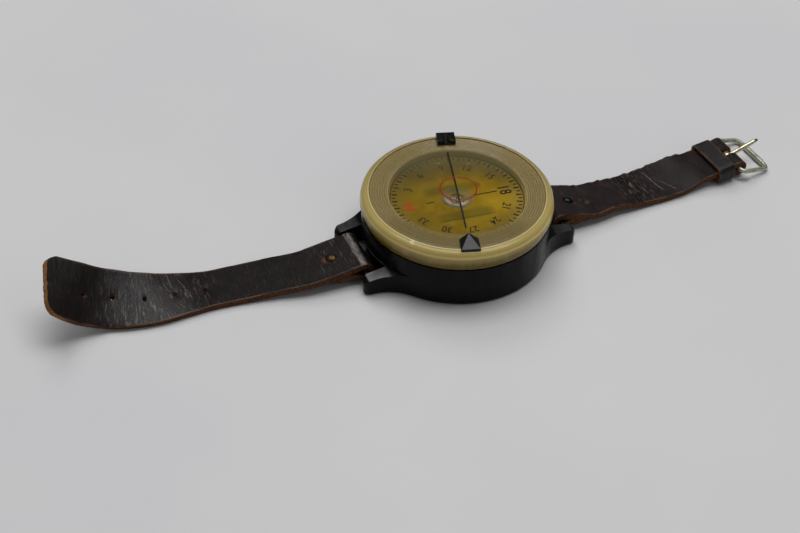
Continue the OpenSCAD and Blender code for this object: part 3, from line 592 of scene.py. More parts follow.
softened("case", "case_shell", 0.8, case_finish, "case", "case_plastic")
softened("sight_point", "sight_point_worn", 0.1, sight_finish, "capsule", "sight_plastic", 12)
softened("sight_notch", "sight_notch_worn", 0.1, sight_finish, "capsule", "sight_plastic", 20)

# %% [markdown]
# ## Leather: flat patterns on rails
# A strap is cut flat from a hide, punched, and then bent: round its bar, along the table and up at the tip.
# It is made the same way here. A flat grid gets the strap's outline, thickness, holes and soft edges, and
# then each point is carried to a rail, which is the line that the middle of the leather follows.

# %% Rails for the leather
BAR_X, BAR_Z = 33.7, 4.2
STRAP_T = 1.9
LOOP_R = 2.25
RAIL_STEP = 0.25


def tilted(x, y, z, degrees):
    """A point turned about the Y axis. A positive angle lowers +X."""
    a = radians(degrees)
    return Vector((x * cos(a) + z * sin(a), y, z * cos(a) - x * sin(a)))


def swung(v, degrees):
    """A point turned about the upright axis."""
    return Matrix.Rotation(radians(degrees), 3, "Z") @ v


class Rail:
    """A line in space with a sideways direction at each of its points."""

    def __init__(self, points, sides, passes=10):
        points, sides = self.even(points, sides)
        for _ in range(passes):
            inner = [(a + 2 * b + c) / 4 for a, b, c in zip(points, points[1:], points[2:])]
            points = [points[0]] + inner + [points[-1]]
        self.points = points
        self.sides = sides
        self.marks = [0.0]
        for a, b in zip(points, points[1:]):
            self.marks.append(self.marks[-1] + (b - a).length)
        self.length = self.marks[-1]

    @staticmethod
    def even(points, sides):
        """The same line with points at an even spacing."""
        new_points, new_sides = [points[0]], [sides[0]]
        for a, b, side_a, side_b in zip(points, points[1:], sides, sides[1:]):
            count = max(1, round((b - a).length / RAIL_STEP))
            for k in range(1, count + 1):
                new_points.append(a.lerp(b, k / count))
                new_sides.append(side_a.lerp(side_b, k / count))
        return new_points, new_sides

    def at(self, distance):
        """Point, sideways direction and outward direction at a distance along the rail."""
        low = max(0, min(bisect_right(self.marks, distance) - 1, len(self.marks) - 2))
        share = (distance - self.marks[low]) / (self.marks[low + 1] - self.marks[low])
        before = self.points[max(low - 1, 0)]
        after = self.points[min(low + 2, len(self.points) - 1)]
        heading_low = (self.points[low + 1] - before).normalized()
        heading_high = (after - self.points[low]).normalized()
        heading = heading_low.lerp(heading_high, share).normalized()
        side = self.sides[low].lerp(self.sides[low + 1], share)
        side = (side - heading * side.dot(heading)).normalized()
        return self.points[low].lerp(self.points[low + 1], share), side, heading.cross(side)

    def nearest(self, target):
        """Distance along the rail of the point nearest to a target."""
        gaps = [(p - target).length for p in self.points]
        return self.marks[gaps.index(min(gaps))]


def curve_through(stations, lead, trail, steps=20):
    """A smooth curve through stations of x, y, z and twist, as points and sideways directions."""
    row = [Vector(s) for s in [lead] + stations + [trail]]
    dense = []
    for a, b, c, d in zip(row, row[1:], row[2:], row[3:]):
        for k in range(steps):
            t = k / steps
            bent = (2 * a - 5 * b + 4 * c - d) * t**2 + (3 * b - a - 3 * c + d) * t**3
            dense.append((2 * b + (c - a) * t + bent) / 2)
    dense.append(row[-2])
    points = [p.to_3d() for p in dense]
    sides = []
    for i, p in enumerate(dense):
        heading = (points[min(i + 1, len(points) - 1)] - points[max(i - 1, 0)]).normalized()
        level = Vector((0, 0, 1)).cross(heading).normalized()
        twist = radians(p[3])
        sides.append(level * cos(twist) - heading.cross(level) * sin(twist))
    return points, sides


def looped_head(tuck, close, head_length, droop, turn):
    """The leather's middle line from its tucked end, round the bar, to its straight stretch."""
    line = [(tuck, 0.35), (close, 0.35), (0.6, -LOOP_R + 0.1)]
    line += arc(0, 0, LOOP_R, range(-95, -271, -5))
    line += [(head_length, LOOP_R)]
    middle = swung(Vector((BAR_X, 0, BAR_Z)), turn)
    points = [middle + swung(tilted(x, 0, z, droop), turn) for x, z in line]
    return points, [swung(Vector((0, 1, 0)), turn)] * len(points)


# %% [markdown]
# ## The two routes
# Each station of a route says how far it is from the bar, how far to the side, how high the leather lies
# over the table, and by how many degrees it is twisted.

# %% The two rails
LONG_ROUTE = [(27.3, 2.2, 1.3, 0), (36.9, 3.5, 0.35, 0), (46.4, 4.2, 0.2, 0), (55.4, 4.15, 1.3, 8),
              (63.7, 3.8, 2.7, 18), (71.4, 4.85, 3.7, 24.5), (78.5, 6.4, 5.3, 32),
              (85.4, 6.35, 9.3, 40), (95.4, 5.8, 17.4, 27)]
SHORT_ROUTE = [(20, 1.2, 1.75, 5), (29, 1.6, 0.55, 3), (37, 1.9, 0.6, -2), (44.5, 2.3, 1.3, -7),
               (50, 2.7, 2.1, -8)]
BUCKLE_AT = Vector((101.9, 4.4, 3.7208))
BUCKLE_RISE, BUCKLE_HEADING = 5.5, 5
FOLD_R = 1.85
TAIL_Z = -0.85


def at_buckle(x, y, z):
    """A place measured from the buckle's bar."""
    return BUCKLE_AT + swung(tilted(x, y, z, -BUCKLE_RISE), BUCKLE_HEADING)


def lead_in(points, first_station):
    """A station before the first, so that the curve leaves the straight stretch in line with it."""
    first = Vector(first_station[:3])
    gap = 2 * (first - points[-1]).length
    return (*(first - gap * (points[-1] - points[-2]).normalized()), 0)


head_points, head_sides = looped_head(12.2, 5.4, 14, 9.5, 180)
route = [(-BAR_X - d, y, z + STRAP_T / 2, twist) for d, y, z, twist in LONG_ROUTE]
stations = [(*head_points[-1], 0)] + route
beyond = tuple(2 * b - a for a, b in zip(stations[-2], stations[-1]))
points, sides = curve_through(stations, lead_in(head_points, route[0]), beyond)
long_rail = Rail(head_points + points[1:], head_sides + sides[1:])
long_crest = long_rail.nearest(max(head_points, key=lambda p: p.z))

head_points, head_sides = looped_head(10.0, 3.2, 12, 14, 0)
route = [(BAR_X + d, y, z + STRAP_T / 2, twist) for d, y, z, twist in SHORT_ROUTE]
fold_start = at_buckle(-13, 0, STRAP_T / 2)
stations = [(*head_points[-1], 0)] + route + [(*fold_start, 0)]
fold_heading = (at_buckle(1, 0, 0) - BUCKLE_AT).normalized()
near_end = Vector(route[-1][:3])
beyond = (*(near_end + 2 * (fold_start - near_end).length * fold_heading), 0)
points, sides = curve_through(stations, lead_in(head_points, route[0]), beyond)
fold_line = [(-4, STRAP_T / 2), (-0.6, FOLD_R - 0.1)]
fold_line += arc(0, 0, FOLD_R, range(85, -86, -5))
fold_line += [(-2.8, TAIL_Z), (-9.6, TAIL_Z)]
fold_points = [at_buckle(x, 0, z) for x, z in fold_line]
fold_sides = [at_buckle(0, 1, 0) - BUCKLE_AT] * len(fold_points)
short_rail = Rail(head_points + points[1:] + fold_points, head_sides + sides[1:] + fold_sides)
print("rails: long %.1f mm, short %.1f mm" % (long_rail.length, short_rail.length))

# %% [markdown]
# ## Leather finishes
# The grain side is dyed almost black and worn shiny, with fine creases across the strap and pale scuffs. It
# uses the flat pattern's own coordinates, so the creases follow the leather where it bends. The cut edges
# and the underside are raw orange-brown hide, with fibres in no direction.

# %% Finish: leather
FRAYED_FROM_X, FRAYED_TO_X = -126.4, -123


def stroke(length, width, line, wobble):
    """One pale scratch between two places on the flat pattern."""
    from_along, from_across, to_along, to_across = line
    reach = hypot(to_along - from_along, to_across - from_across)
    run, rise = (to_along - from_along) / reach, (to_across - from_across) / reach
    on_line = (length - from_along) * run + (width - from_across) * rise
    off_line = abs((width - from_across) * run - (length - from_along) * rise + wobble)
    return on_line.range(0, 2) * on_line.fade(reach - 2, reach) * off_line.fade(0.03, 0.19)


def grain_leather(name, shiny, half_widths, scuffs=(), strokes=(), crest=None, gloss=0.3, warm=1.0):
    """Dark grain, browner if warm. All places are on the flat pattern: the ends of the shiny stretch, the
    half widths, the scuffed spots, the pale scratches and the crest over the bar, which gets a painted
    highlight."""
    finish = Finish(name, specular_ior_level=gloss)
    flat = finish.place("UV")
    length, width, _ = finish.axes(flat)
    pores = finish.noise(flat, 2.2, 5, 0.7)
    cloudy = finish.noise(flat, 0.16, 5, 0.6)
    creases = finish.noise(finish.place("UV", (1, 0.16, 1), 8), 1.5, 6, 0.68, 0.6)
    scratch = finish.noise(finish.place("UV", (1, 0.1, 1), -22), 3.4, 4, 0.6)
    shiny_from, shiny_to = shiny
    patchy = length + 9 * cloudy
    worn = patchy.range(shiny_from + 2, shiny_from + 10) * patchy.fade(shiny_to, shiny_to + 12)
    dark, light = [rgb(*shaded(tone, warm)) for tone in ((15, 11, 10), (25, 18, 17))]
    shade = cloudy.range(0.3, 0.7).mix(dark, light)
    shade = (pores.range(0.62, 0.8) * 0.4).mix(shade, rgb(8, 7, 6))
    lined = 0.04 + 0.46 * worn
    if crest is not None:
        by_crest = length.range(crest + 1, crest + 3) * length.fade(crest + 10, crest + 15)
        lined = lined + 0.3 * by_crest
    lines = creases.range(0.55, 0.67) + scratch.range(0.65, 0.73)
    shade = (lines * lined).mix(shade, rgb(132, 122, 115))
    # Painted highlight: a pale band across the leather at the crest of its loop over the bar.
    if crest is not None:
        off_crest = abs(length - crest - 0.3 + 1.2 * (cloudy - 0.5))
        crest_highlight = off_crest.fade(0.2, 1.3, 0.8) * creases.range(0.35, 0.6)
        shade = crest_highlight.mix(shade, rgb(150, 143, 138))
    for *line, strength in strokes:
        scratched = stroke(length, width, line, 2.4 * (cloudy - 0.5))
        broken = pores.range(0.44, 0.6, 0.08, strength)
        shade = (scratched * broken).mix(shade, rgb(168, 156, 146))
    for at_along, at_across, reach, tone in scuffs:
        spread = distance(length - at_along, width - at_across) + 3.0 * cloudy + 1.6 * pores
        shade = spread.fade(1.6, 2.3 + reach, 0.8).mix(shade, tone)
    start, end, half_start, half_end = half_widths
    to_edge = length.range(start, end, half_start, half_end) - abs(width)
    frayed = (to_edge + 1.5 * pores).fade(0.6, 1.5, 0.65)
    shade = (frayed * cloudy.range(0.35, 0.6)).mix(shade, rgb(112, 80, 58))
    finish.set(base_color=shade)
    rough = (pores + 0.5 * creases).range(0.5, 1.1, 0.3, 0.48)
    finish.set(roughness=rough - 0.1 * worn)
    finish.bump(0.5 * pores + 0.9 * creases.range(0.3, 0.75) + 0.3 * scratch, 0.08)
    return finish


def raw_leather(name, dark, light):
    """Cut edges and underside of the hide. The long strap's tip is frayed and pale."""
    finish = Finish(name, specular_ior_level=0.2)
    spot = finish.place()
    east, _, _ = finish.axes(spot)
    fibre = finish.noise(spot, 1.4, 6, 0.72, 0.8)
    cloudy = finish.noise(spot, 0.2, 4)
    shade = fibre.range(0.32, 0.7).mix(dark, light)
    shade = (cloudy.range(0.5, 0.75) * 0.6).mix(shade, rgb(40, 26, 19))
    fuzz = finish.noise(spot, 3.2, 3, 0.7).range(0.35, 0.65)
    tip_tone = fuzz.mix(rgb(96, 58, 30), rgb(168, 118, 66))
    at_tip = (east + 2.4 * fibre).fade(FRAYED_FROM_X, FRAYED_TO_X, 0.95)
    finish.set(base_color=at_tip.mix(shade, tip_tone))
    finish.set(roughness=fibre.range(0.3, 0.7, 0.62, 0.85))
    finish.bump(fibre, 0.2)
    return finish


raw_hide = raw_leather("leather_raw", rgb(38, 23, 14), rgb(112, 70, 38))
raw_keeper = raw_leather("leather_raw_keeper", rgb(84, 44, 22), rgb(150, 88, 46))

# %% Cut a strip of leather and bend it
GRAIN_SHARE = 0.28  # of the thickness, over the middle: faces above this are grain


def cut_strip(name, rows, half_width, across, thickness, grain, raw, cutters=(), soft_edge=0.3):
    """A flat strip with its outline, thickness, holes and soft edges. Rows are the distances along it."""
    bpy.ops.mesh.primitive_grid_add(x_subdivisions=len(rows) - 1, y_subdivisions=across, size=1)
    strip = named(name)
    for vertex in strip.data.vertices:
        row = rows[round((vertex.co.x + 0.5) * (len(rows) - 1))]
        share = 2 * vertex.co.y
        vertex.co = (row, share * half_width(row, share), 0)
    apply_modifier(strip, "SOLIDIFY", thickness=thickness, offset=0)
    for cutter in cutters:
        apply_modifier(strip, "BOOLEAN", operation="DIFFERENCE", solver="EXACT", object=cutter)
        bpy.data.objects.remove(cutter)
    bevel(strip, soft_edge, 2, 50)
    pattern = strip.data.uv_layers.new(name="flat")
    for loop in strip.data.loops:
        corner = strip.data.vertices[loop.vertex_index].co
        pattern.data[loop.index].uv = (corner.x / PATTERN_SPAN, corner.y / PATTERN_SPAN)
    pattern.active = pattern.active_render = True
    strip.data.materials.append(grain.material)
    strip.data.materials.append(raw.material)
    for face in strip.data.polygons:
        face.material_index = 0 if face.center.z > GRAIN_SHARE * thickness else 1
    return strip


def bend_strip(strip, rail, relief):
    """Carries the flat strip to its rail. Relief gives each point its height over the rail."""
    for vertex in strip.data.vertices:
        along, sideways, height = vertex.co
        point, side, outward = rail.at(along)
        vertex.co = (point + side * sideways + outward * relief(along, sideways, height)) * MM
    smooth(strip, 60)


def ease(value, low, high):
    """Goes gently from 0 to 1."""
    t = min(max((value - low) / (high - low), 0), 1)
    return t * t * (3 - 2 * t)


def ripple(x, y, size, seed):
    """Smooth unevenness, with waves of a size."""
    return noise.noise(Vector((x / size, y / size, seed)))


def skived(along, height):
    """Pares the leather thin towards its tucked end, on the side away from the layer above."""
    kept = 0.25 + 0.75 * ease(along, 0, 4.5)
    return (height + STRAP_T / 2) * kept - STRAP_T / 2


def punch(places, bottom_radius, top_radius):
    """A cutter for holes in the flat strip. A punch leaves a hole that is wider where it goes in."""
    cutters = []
    for along, sideways in places:
        bpy.ops.mesh.primitive_cone_add(vertices=20, radius1=bottom_radius, radius2=top_radius,
                                        depth=2.4, location=(along, sideways, 0))
        cutters.append(bpy.context.object)
    return join(cutters, "cutter")


# %% [markdown]
# ## Long strap
# The long strap is tucked and riveted round its bar, runs along the table, and curls up and twists at its
# punched end. Its tip is cut square with round corners. The rows of the grid close up there, so the corners
# come out round.

# %% Long strap
ROW_STEP = 0.55
TIP_ROUND, TIP_STEPS = 4, 10
HOLE_FROM_TIP, HOLE_PITCH, HOLE_STRAY = 13.6, 9.7, 0.15
strap_end = long_rail.length
long_rows = [k * ROW_STEP for k in range(int((strap_end - TIP_ROUND) / ROW_STEP) + 1)]
for k in range(1, TIP_STEPS + 1):
    long_rows.append(strap_end - TIP_ROUND * (1 - sin(pi / 2 * k / TIP_STEPS)))
hole_places = [(strap_end - HOLE_FROM_TIP - HOLE_PITCH * k, HOLE_STRAY * (-1) ** k) for k in range(5)]


def long_half_width(row, share):
    from_bar = -long_rail.at(min(row, strap_end - 0.01))[0].x - BAR_X
    half = 8 + 1.35 * ease(from_bar, 41, 86)
    left = strap_end - row
    if left < TIP_ROUND:
        half -= TIP_ROUND - sqrt(max(TIP_ROUND**2 - (TIP_ROUND - left) ** 2, 0))
    frayed = 0.14 * ease(row, strap_end - 6, strap_end - 3) * ripple(row, share * 9, 0.7, 6.5)
    return half + frayed + 0.09 * ripple(row, share * 30, 5, 1.5)


def long_relief(along, sideways, height):
    if height <= 0:
        return skived(along, height) + 0.12 * ripple(along, sideways, 4, 8)
    lift = 0.10 * ripple(along, sideways, 7, 3)
    for hole_along, hole_across in hole_places:
        gap = hypot(along - hole_along, sideways - hole_across)
        lift -= 0.22 * exp(-((gap / 1.5) ** 2))
    return skived(along, height) + lift


LONG_SCUFFS = [(29.4, 0.2, 1.9, rgb(128, 72, 42)), (26.5, 1.2, 1.2, rgb(84, 60, 48))]
LONG_STROKES = [(75.5, -6.5, 72.5, 3.0, 0.5), (78.5, 2.5, 75.5, 6.5, 0.4), (80, -6, 78.8, 0, 0.4),
                (84, 3, 82.9, 7, 0.4), (91, -7, 89.8, -2, 0.4), (87, -5, 86.2, -1, 0.4),
                (94, 1, 92.6, 8, 0.35)]
long_grain = grain_leather("leather_long", (strap_end - 56, strap_end - 20),
                           (strap_end - 55, strap_end - 10, 8, 9.35), LONG_SCUFFS, LONG_STROKES,
                           long_crest, gloss=0.24, warm=1.1)
long_strip = cut_strip("long_strap_leather", long_rows, long_half_width, 22, STRAP_T, long_grain,
                       raw_hide, [punch(hole_places, 0.06, 0.9)])
for vertex in long_strip.data.vertices:
    near_tip = ease(vertex.co.x, strap_end - 2, strap_end - 0.4)
    vertex.co.x += 0.3 * near_tip * ripple(vertex.co.y, 0.5 * vertex.co.z, 0.8, 7.5)
bend_strip(long_strip, long_rail, long_relief)
place(long_strip, "long_strap", None, "strap_leather", ["long_strap"])

# %% [markdown]
# ## Short strap
# The short strap ends in a fold round the buckle's bar, with a slot for the tongue and a tail that is
# thinned so that it lies flat under the keeper. Its far edge is rippled where it has been pulled through
# the buckle.

# %% Short strap
TAIL_T = 1.7
SLOT_X, SLOT_HALF_W = -4.4, 1.7
GROOVES = (28.5, 31)
SHORT_ROWS = 260
short_end = short_rail.length
short_rows = [k * short_end / SHORT_ROWS for k in range(SHORT_ROWS + 1)]
slot_from = short_rail.nearest(at_buckle(SLOT_X, 0, STRAP_T / 2 + 0.1))
slot_to = short_rail.nearest(at_buckle(SLOT_X, 0, TAIL_Z))
tail_from = short_rail.nearest(at_buckle(0, 0, -FOLD_R))


def short_half_width(row, share):
    from_bar = short_rail.at(row)[0].x - BAR_X
    half = 8 - 0.7 * ease(from_bar, 42, 55)
    loose = ease(row, 22, 34) * (1 - ease(row, 78, 86))
    rippled = 0.42 if share > 0 else 0.10
    return half + loose * rippled * ripple(row, share * 30, 1.9, 4.5)


def short_relief(along, sideways, height):
    far_edge = ease(sideways, 4.5, 8) * ease(along, 22, 32) * (1 - ease(along, 78, 86))
    lift = 0.42 * far_edge * ripple(along, 0, 1.7, 21)
    if height > 0:
        lift += 0.09 * ripple(along, sideways, 6, 13)
        for groove in GROOVES:
            creased = exp(-(((along - groove) / 0.5) ** 2))
            lift -= 0.24 * creased * (1 - ease(sideways, -1, 2))
    else:
        lift += 0.10 * ripple(along, sideways, 4, 18)
    thin = ease(along, tail_from, tail_from + 4) * (1 - TAIL_T / STRAP_T)
    thin += 0.6 * ease(along, short_end - 1.2, short_end)
    return skived(along, height) * (1 - thin) + lift * (1 - ease(along, 84, 90))


bpy.ops.mesh.primitive_cube_add(size=1, location=((slot_from + slot_to) / 2, 0, 0),
                                scale=(slot_to - slot_from, 2 * SLOT_HALF_W, 8))
slot_cutter = named("slot_cutter")
SHORT_SCUFFS = [(*spot, rgb(104, 64, 50)) for spot in (
    (24.8, -1.8, 1.1), (26.4, -3.6, 1.0), (27.8, -0.2, 0.9), (29.6, -1.6, 1.0), (22.6, 3.2, 1.0))]
SHORT_STROKES = [(55.6, 6.2, 58, -5.6, 0.65), (58.4, 0.4, 62.6, -6.8, 0.55),
                 (48.2, 3.2, 50.2, -3.4, 0.6), (51.2, 1, 53.2, -4.6, 0.6),
                 (51.8, 7.5, 52.4, 4.6, 0.6), (29.2, 0.5, 31.4, -2.5, 0.6)]
short_grain = grain_leather("leather_short", (42, 54), (63, 76, 8, 7.3), SHORT_SCUFFS,
                            SHORT_STROKES, gloss=0.17, warm=1.4)
short_strip = cut_strip("short_strap_leather", short_rows, short_half_width, 24, STRAP_T,
                        short_grain, raw_hide, [slot_cutter])
bend_strip(short_strip, short_rail, short_relief)
place(short_strip, "short_strap", None, "strap_leather", ["short_strap"])

# %% [markdown]
# ## Keeper
# The keeper is a narrow band of thin leather, sewn end to end underneath, that holds the strap's loose tip.
# It is the same flat strip, on a rail that runs once round the strap.

# %% Keeper
KEEPER_L, KEEPER_T = 6.1, 0.9
KEEPER_MIDDLE = -5.65
KEEPER_HALF_W, KEEPER_LOW, KEEPER_HIGH = 8.05, -2.4, 2.95
KEEPER_BEND = 1.5
KEEPER_ROWS = 110
SEAM_HALF_GAP = 0.06
flat_y = KEEPER_HALF_W - KEEPER_BEND
low_z, high_z = KEEPER_LOW + KEEPER_BEND, KEEPER_HIGH - KEEPER_BEND
keeper_line = [(-SEAM_HALF_GAP, KEEPER_LOW)]
for y, z, start in ((-flat_y, low_z, 270), (-flat_y, high_z, 180),
                    (flat_y, high_z, 90), (flat_y, low_z, 0)):
    keeper_line += arc(y, z, KEEPER_BEND, range(start, start - 91, -15))
keeper_line += [(SEAM_HALF_GAP, KEEPER_LOW)]
keeper_points = [at_buckle(KEEPER_MIDDLE, y, z) for y, z in keeper_line]
keeper_sides = [BUCKLE_AT - at_buckle(1, 0, 0)] * len(keeper_points)
keeper_rail = Rail(keeper_points, keeper_sides, passes=3)
keeper_end = keeper_rail.length
keeper_rows = [k * keeper_end / KEEPER_ROWS for k in range(KEEPER_ROWS + 1)]


def keeper_half_width(row, share):
    return KEEPER_L / 2 + 0.12 * ripple(row, share * 20, 3, 6.5)


def keeper_relief(along, sideways, height):
    top = ease(along, 14, 20) * (1 - ease(along, keeper_end - 20, keeper_end - 14))
    return height + (0.10 * top + 0.03 * ripple(along, sideways, 3, 9)) * (height > 0)


keeper_grain = grain_leather("leather_keeper", (90, 100), (0, 1, 3.05, 3.05))
keeper_strip = cut_strip("keeper_leather", keeper_rows, keeper_half_width, 10, KEEPER_T,
                         keeper_grain, raw_keeper, soft_edge=0.18)
bend_strip(keeper_strip, keeper_rail, keeper_relief)
place(keeper_strip, "keeper", None, "strap_leather", ["keeper"])

# %% [markdown]
# ## Buckle and tongue
# The buckle is one piece of wire bent into a frame, thicker along its outer bar, and the tongue is a
# tapered wire with an eye round the buckle's bar. A curve along the middle of the wire, with a radius at
# each of its points, gives the smooth bends of drawn wire, and is turned into a mesh.

# %% Buckle and tongue
WIRE_R, OUTER_BAR_R, FRAME_BEND = 0.75, 0.95, 1.9
FRAME_DIP, TONGUE_RISE = 19, 10
FRAME_CORNERS = [Vector(c) for c in ((0, -9.3), (11.4, -8.5), (11.4, 8.5), (0, 9.3))]
BEND_STEPS, STRETCH_STEPS, TONGUE_STEPS = 12, 24, 40
EYE_IN_R, EYE_OUT_R, EYE_HALF_W, EYE_EDGE = 0.83, 1.48, 1.3, 0.15
TONGUE_L, TONGUE_R, TONGUE_TIP_R = 12.4, 0.72, 0.4


def bent_wire(name, points, radii, closed):
    """A round wire along a line of points, with its own radius at each."""
    data = bpy.data.curves.new(name, "CURVE")
    data.dimensions = "3D"
    data.bevel_depth = 1
    data.bevel_resolution = 6
    data.use_fill_caps = True
    spline = data.splines.new("POLY")
    spline.points.add(len(points) - 1)
    spline.use_cyclic_u = closed
    for target, point, radius in zip(spline.points, points, radii):
        target.co = (*point, 1)
        target.radius = radius
    only(added(name, data))
    bpy.ops.object.convert(target="MESH")
    return named(name)


frame_line = []
for number, at in enumerate(FRAME_CORNERS):
    before, after = FRAME_CORNERS[number - 1], FRAME_CORNERS[(number + 1) % len(FRAME_CORNERS)]
    way_in, way_out = (at - before).normalized(), (after - at).normalized()
    turn = way_in.angle(way_out)
    start = at - way_in * FRAME_BEND * tan(turn / 2)
    centre = start + FRAME_BEND * Vector((-way_in.y, way_in.x))
    for k in range(BEND_STEPS + 1):
        turned_by = Matrix.Rotation(turn * k / BEND_STEPS, 2)
        frame_line.append(centre + turned_by @ (start - centre))
    bend_end, stretch_end = frame_line[-1], after - way_out * FRAME_BEND
    for k in range(1, STRETCH_STEPS):
        frame_line.append(bend_end.lerp(stretch_end, k / STRETCH_STEPS))
frame_points, frame_radii = [], []
for x, y in frame_line:
    thick = ease(x, 10.6, 11.3) * (1 - ease(abs(y), 4.2, 6.4))
    uneven = 0.025 * ripple(x, y, 1.6, 31) * ease(x, 2, 4)
    frame_points.append(at_buckle(*tilted(x, y, 0, FRAME_DIP)))
    frame_radii.append(WIRE_R + (OUTER_BAR_R - WIRE_R) * thick + uneven)
buckle_wire = bent_wire("buckle_wire", frame_points, frame_radii, True)
complete(buckle_wire, 60, "buckle", nickel, "buckle_nickel", ["buckle_frame"])

shank_from, shank_length = EYE_IN_R + 0.3, TONGUE_L - EYE_IN_R - 0.5
tongue_marks = [shank_from + k * shank_length / TONGUE_STEPS for k in range(TONGUE_STEPS + 1)]
tongue_radii = [TONGUE_R - (TONGUE_R - TONGUE_TIP_R) * ease(x, TONGUE_L - 2.0, TONGUE_L)
                for x in tongue_marks]
tongue_marks += [TONGUE_L - 0.08, TONGUE_L]
tongue_radii += [0.3, 0.06]
shank = bent_wire("shank", [(x, 0, 0) for x in tongue_marks], tongue_radii, False)
eye = turned("eye", [(EYE_IN_R, -EYE_HALF_W), (EYE_OUT_R - EYE_EDGE, -EYE_HALF_W),
                     (EYE_OUT_R, -EYE_HALF_W + EYE_EDGE), (EYE_OUT_R, EYE_HALF_W - EYE_EDGE),
                     (EYE_OUT_R - EYE_EDGE, EYE_HALF_W), (EYE_IN_R, EYE_HALF_W)], 48)
eye.rotation_euler = (pi / 2, 0, 0)
settle(eye)
tongue_wire = join([shank, eye], "tongue_wire")
for vertex in tongue_wire.data.vertices:
    vertex.co = at_buckle(*tilted(*vertex.co, -TONGUE_RISE))
complete(tongue_wire, 50, "tongue", tongue_brass, "tongue_brass", ["buckle_tongue"])

# %% [markdown]
# ## Rim and window
# The capsule's top is one moulding of clear plastic that has yellowed. Its thick rim hides steps on the
# inside, which show as fine rings on the far side; its finish paints highlights on them. The rim is turned
# from one outline, like work on a lathe, and the thin window is turned as a piece of its own, so that it can
# be clear.

# %% Rim
DOME_R, CROWN_Z = 400, 21.8
BULGE_X, BULGE_Z, BULGE_R = 23.85, 17.2, 6.5
SHOULDER_X, SHOULDER_Z, SHOULDER_R = 27.98, 18.385, 2.2
SHELF_R, SHELF_Z, SHELF_RINGS = 21.6, 20.22, 9
RING_FROM_R, RING_FROM_Z, RING_PITCH, RING_FALL = 27.5, 20.52, 0.67, 0.034


def dome(radius):
    """Height of the window's top at a radius."""
    return CROWN_Z - radius**2 / (2 * DOME_R)


rim_outline = [(27.1, RIM_FOOT_Z), (29.35, RIM_FOOT_Z)]
rim_outline += arc(BULGE_X, BULGE_Z, BULGE_R, range(-26, 17, 3))
rim_outline += arc(SHOULDER_X, SHOULDER_Z, SHOULDER_R, range(20, 73, 4))
rim_outline += [(28.35, 20.58), (28.15, 20.68), (28.02, 20.8), (27.88, 20.86), (27.74, 20.86), (27.62, 20.8)]
for ring in range(SHELF_RINGS):
    ring_r = RING_FROM_R - ring * RING_PITCH
    ring_z = RING_FROM_Z - ring * RING_FALL
    rim_outline += [(ring_r + 0.08, ring_z - 0.06), (ring_r - 0.1, ring_z - 0.08),
                    (ring_r - 0.22, ring_z - 0.01), (ring_r - 0.4, ring_z)]
rim_outline += [(SHELF_R + 0.1, SHELF_Z), (SHELF_R, SHELF_Z - 0.1), (20.98, 18.1), (20.95, 17.2),
                (24.6, 17.0), (27.1, 17.0)]
rim = turned("rim_moulding", rim_outline)
complete(rim, 35, "capsule", rim_finish, "window_plastic", ["capsule_cap"])

# %% Window
WINDOW_R, WINDOW_T = 27.72, 0.7
radii = [0, 4, 8, 12, 16, 20, 24, 26, WINDOW_R]
window_top = [(r, dome(r)) for r in radii]
window = turned("window_disc", window_top + [(r, z - WINDOW_T) for r, z in reversed(window_top)])
complete(window, 35, "capsule", clear, "window_plastic")

# %% [markdown]
# ## Marks on the window
# A thin black line, the lubber line, crosses the window, and a fine red ring lies at its middle. The line
# starts as a long flat grid and each of its points is set at the height of the dome.

# %% Lubber line and red ring
LINE_FROM, LINE_TO = Vector((-5.1, -17.9)), Vector((4.6, 18.4))
LINE_HALF_W, LINE_T = 0.28, 0.05
RING_R, RING_HALF_W, RING_FLAT = 5.7, 0.22, 0.3
MARK_LIFT = 0.03


def on_dome(piece, scale):
    """Stretches a flat mark and lays it on the window."""
    piece.scale = scale
    settle(piece)
    for vertex in piece.data.vertices:
        vertex.co.z += dome(hypot(vertex.co.x, vertex.co.y)) + MARK_LIFT


reach = LINE_TO - LINE_FROM
bpy.ops.mesh.primitive_grid_add(x_subdivisions=40, y_subdivisions=2, size=1,
                                location=(*(LINE_FROM + LINE_TO) / 2, 0),
                                rotation=(0, 0, atan2(reach.y, reach.x)))
lubber = named("lubber_line")
on_dome(lubber, (reach.length, 2 * LINE_HALF_W, 1))
apply_modifier(lubber, "SOLIDIFY", thickness=LINE_T, offset=0)
complete(lubber, None, "capsule", black_ink, "window_plastic")

bpy.ops.mesh.primitive_torus_add(major_radius=RING_R, minor_radius=RING_HALF_W, major_segments=96,
                                 minor_segments=8, location=(0.2, -0.1, 0))
red_ring = named("red_ring")
on_dome(red_ring, (1, 1, RING_FLAT))
complete(red_ring, 60, "capsule", ring_ink, "window_plastic")

# %% [markdown]
# ## Flange of the hub
# The clear float hub stands on a wider moulded flange, whose round edge catches the light as a bright oval.
# It is a turned ring that lies on the card and turns with it.

# %% Hub flange
CARD_Z = 18.0
FLANGE_R, FLANGE_WIRE = 4.8, 0.34
flange = turned("hub_flange", arc(FLANGE_R, CARD_Z, FLANGE_WIRE, range(0, 181, 20), 1.1), 96)
complete(flange, 50, "card", hub_clear, "hub_plastic")

# %% [markdown]
# ## Printing on the card
# The card carries plain numbers every thirty degrees, in tens of degrees, with a red N and a bold 18 for
# south. Each number is a text object turned into a mesh, laid out flat with its top outwards and turned to
# its bearing.

# %% Numbers
PRINT_Z = CARD_Z + 0.03
NUMBER_R = 15.5


def bearing_angle(bearing):
    """Direction of a bearing, in radians from +X. Bearings run clockwise, seen from above."""
    return radians(CARD_NORTH - bearing)


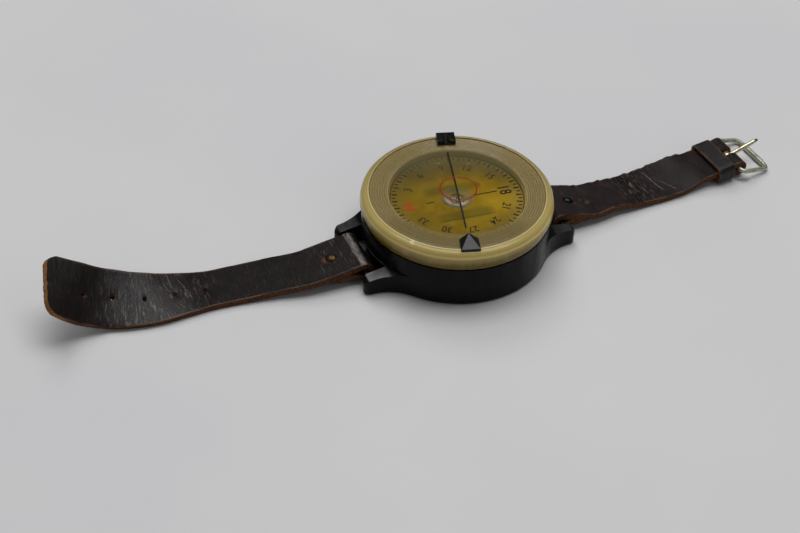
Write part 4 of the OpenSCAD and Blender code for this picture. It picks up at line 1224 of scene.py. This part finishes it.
def print_at(piece, radius, bearing, scale, turn=0.0):
    """Lays a flat piece on the card, at a radius and a bearing."""
    angle = bearing_angle(bearing)
    piece.scale = scale
    piece.rotation_euler = (0, 0, angle + turn)
    piece.location = (radius * cos(angle), radius * sin(angle), PRINT_Z)
    settle(piece)
    return piece


def printed(name, words, size, bearing, weight, slim=0.9):
    """Words on the card. A weight makes the strokes bolder."""
    bpy.ops.object.text_add()
    text = bpy.context.object.data
    text.body = words
    text.size = size
    text.align_x = text.align_y = "CENTER"
    text.offset = weight
    text.extrude = 0.01
    text.resolution_u = 4
    bpy.ops.object.convert(target="MESH")
    return print_at(named(name), NUMBER_R, bearing, (slim, 1, 1), -pi / 2)


numbers = [printed("number_%d" % (tens * 10), str(tens), 3.7, tens * 10, 0.03)
           for tens in (3, 6, 9, 12, 15, 21, 24, 27, 30, 33)]
numbers.append(printed("number_180", "18", 5.4, 180, 0.06, 0.85))
complete(join(numbers, "card_numbers"), None, "card", black_ink, "card_face")
north_letter = printed("north_letter", "N", 5.0, 0, 0.14, 1.0)
complete(north_letter, None, "card", red_ink, "card_face")

# %% [markdown]
# ## Degree marks
# Seventy-two short marks stand round the card's edge, every fifth degree, and each second one is longer.
# Two more lines point to north and south, and two dots stand beside the numbers that face the far sight.

# %% Degree marks
MARK_END_R, MARK_T = 20.5, 0.02


def mark(inner, outer, width, bearing):
    bpy.ops.mesh.primitive_cube_add(size=1)
    size = (outer - inner, width, MARK_T)
    return print_at(named("mark"), (inner + outer) / 2, bearing, size)


marks = []
for bearing in range(0, 360, 5):
    inner, width = (18.7, 0.62) if bearing % 10 == 0 else (19.3, 0.48)
    marks.append(mark(inner, MARK_END_R, width, bearing))
marks += [mark(5.5, 13.2, 0.42, 180), mark(7.5, 10.0, 0.42, 0)]
complete(join(marks, "card_marks"), None, "card", black_ink, "card_face")

# %% Dots beside the numbers
DOT_AT_R, DOT_R, DOT_FLAT = 18.2, 0.5, 0.08
dots = []
for bearing in (90, 120):
    bpy.ops.mesh.primitive_uv_sphere_add(segments=20, ring_count=8, radius=DOT_R)
    dots.append(print_at(named("dot"), DOT_AT_R, bearing, (1, 1, DOT_FLAT), -bearing_angle(bearing)))
complete(join(dots, "card_dots"), 60, "card", pale_ink, "card_face")
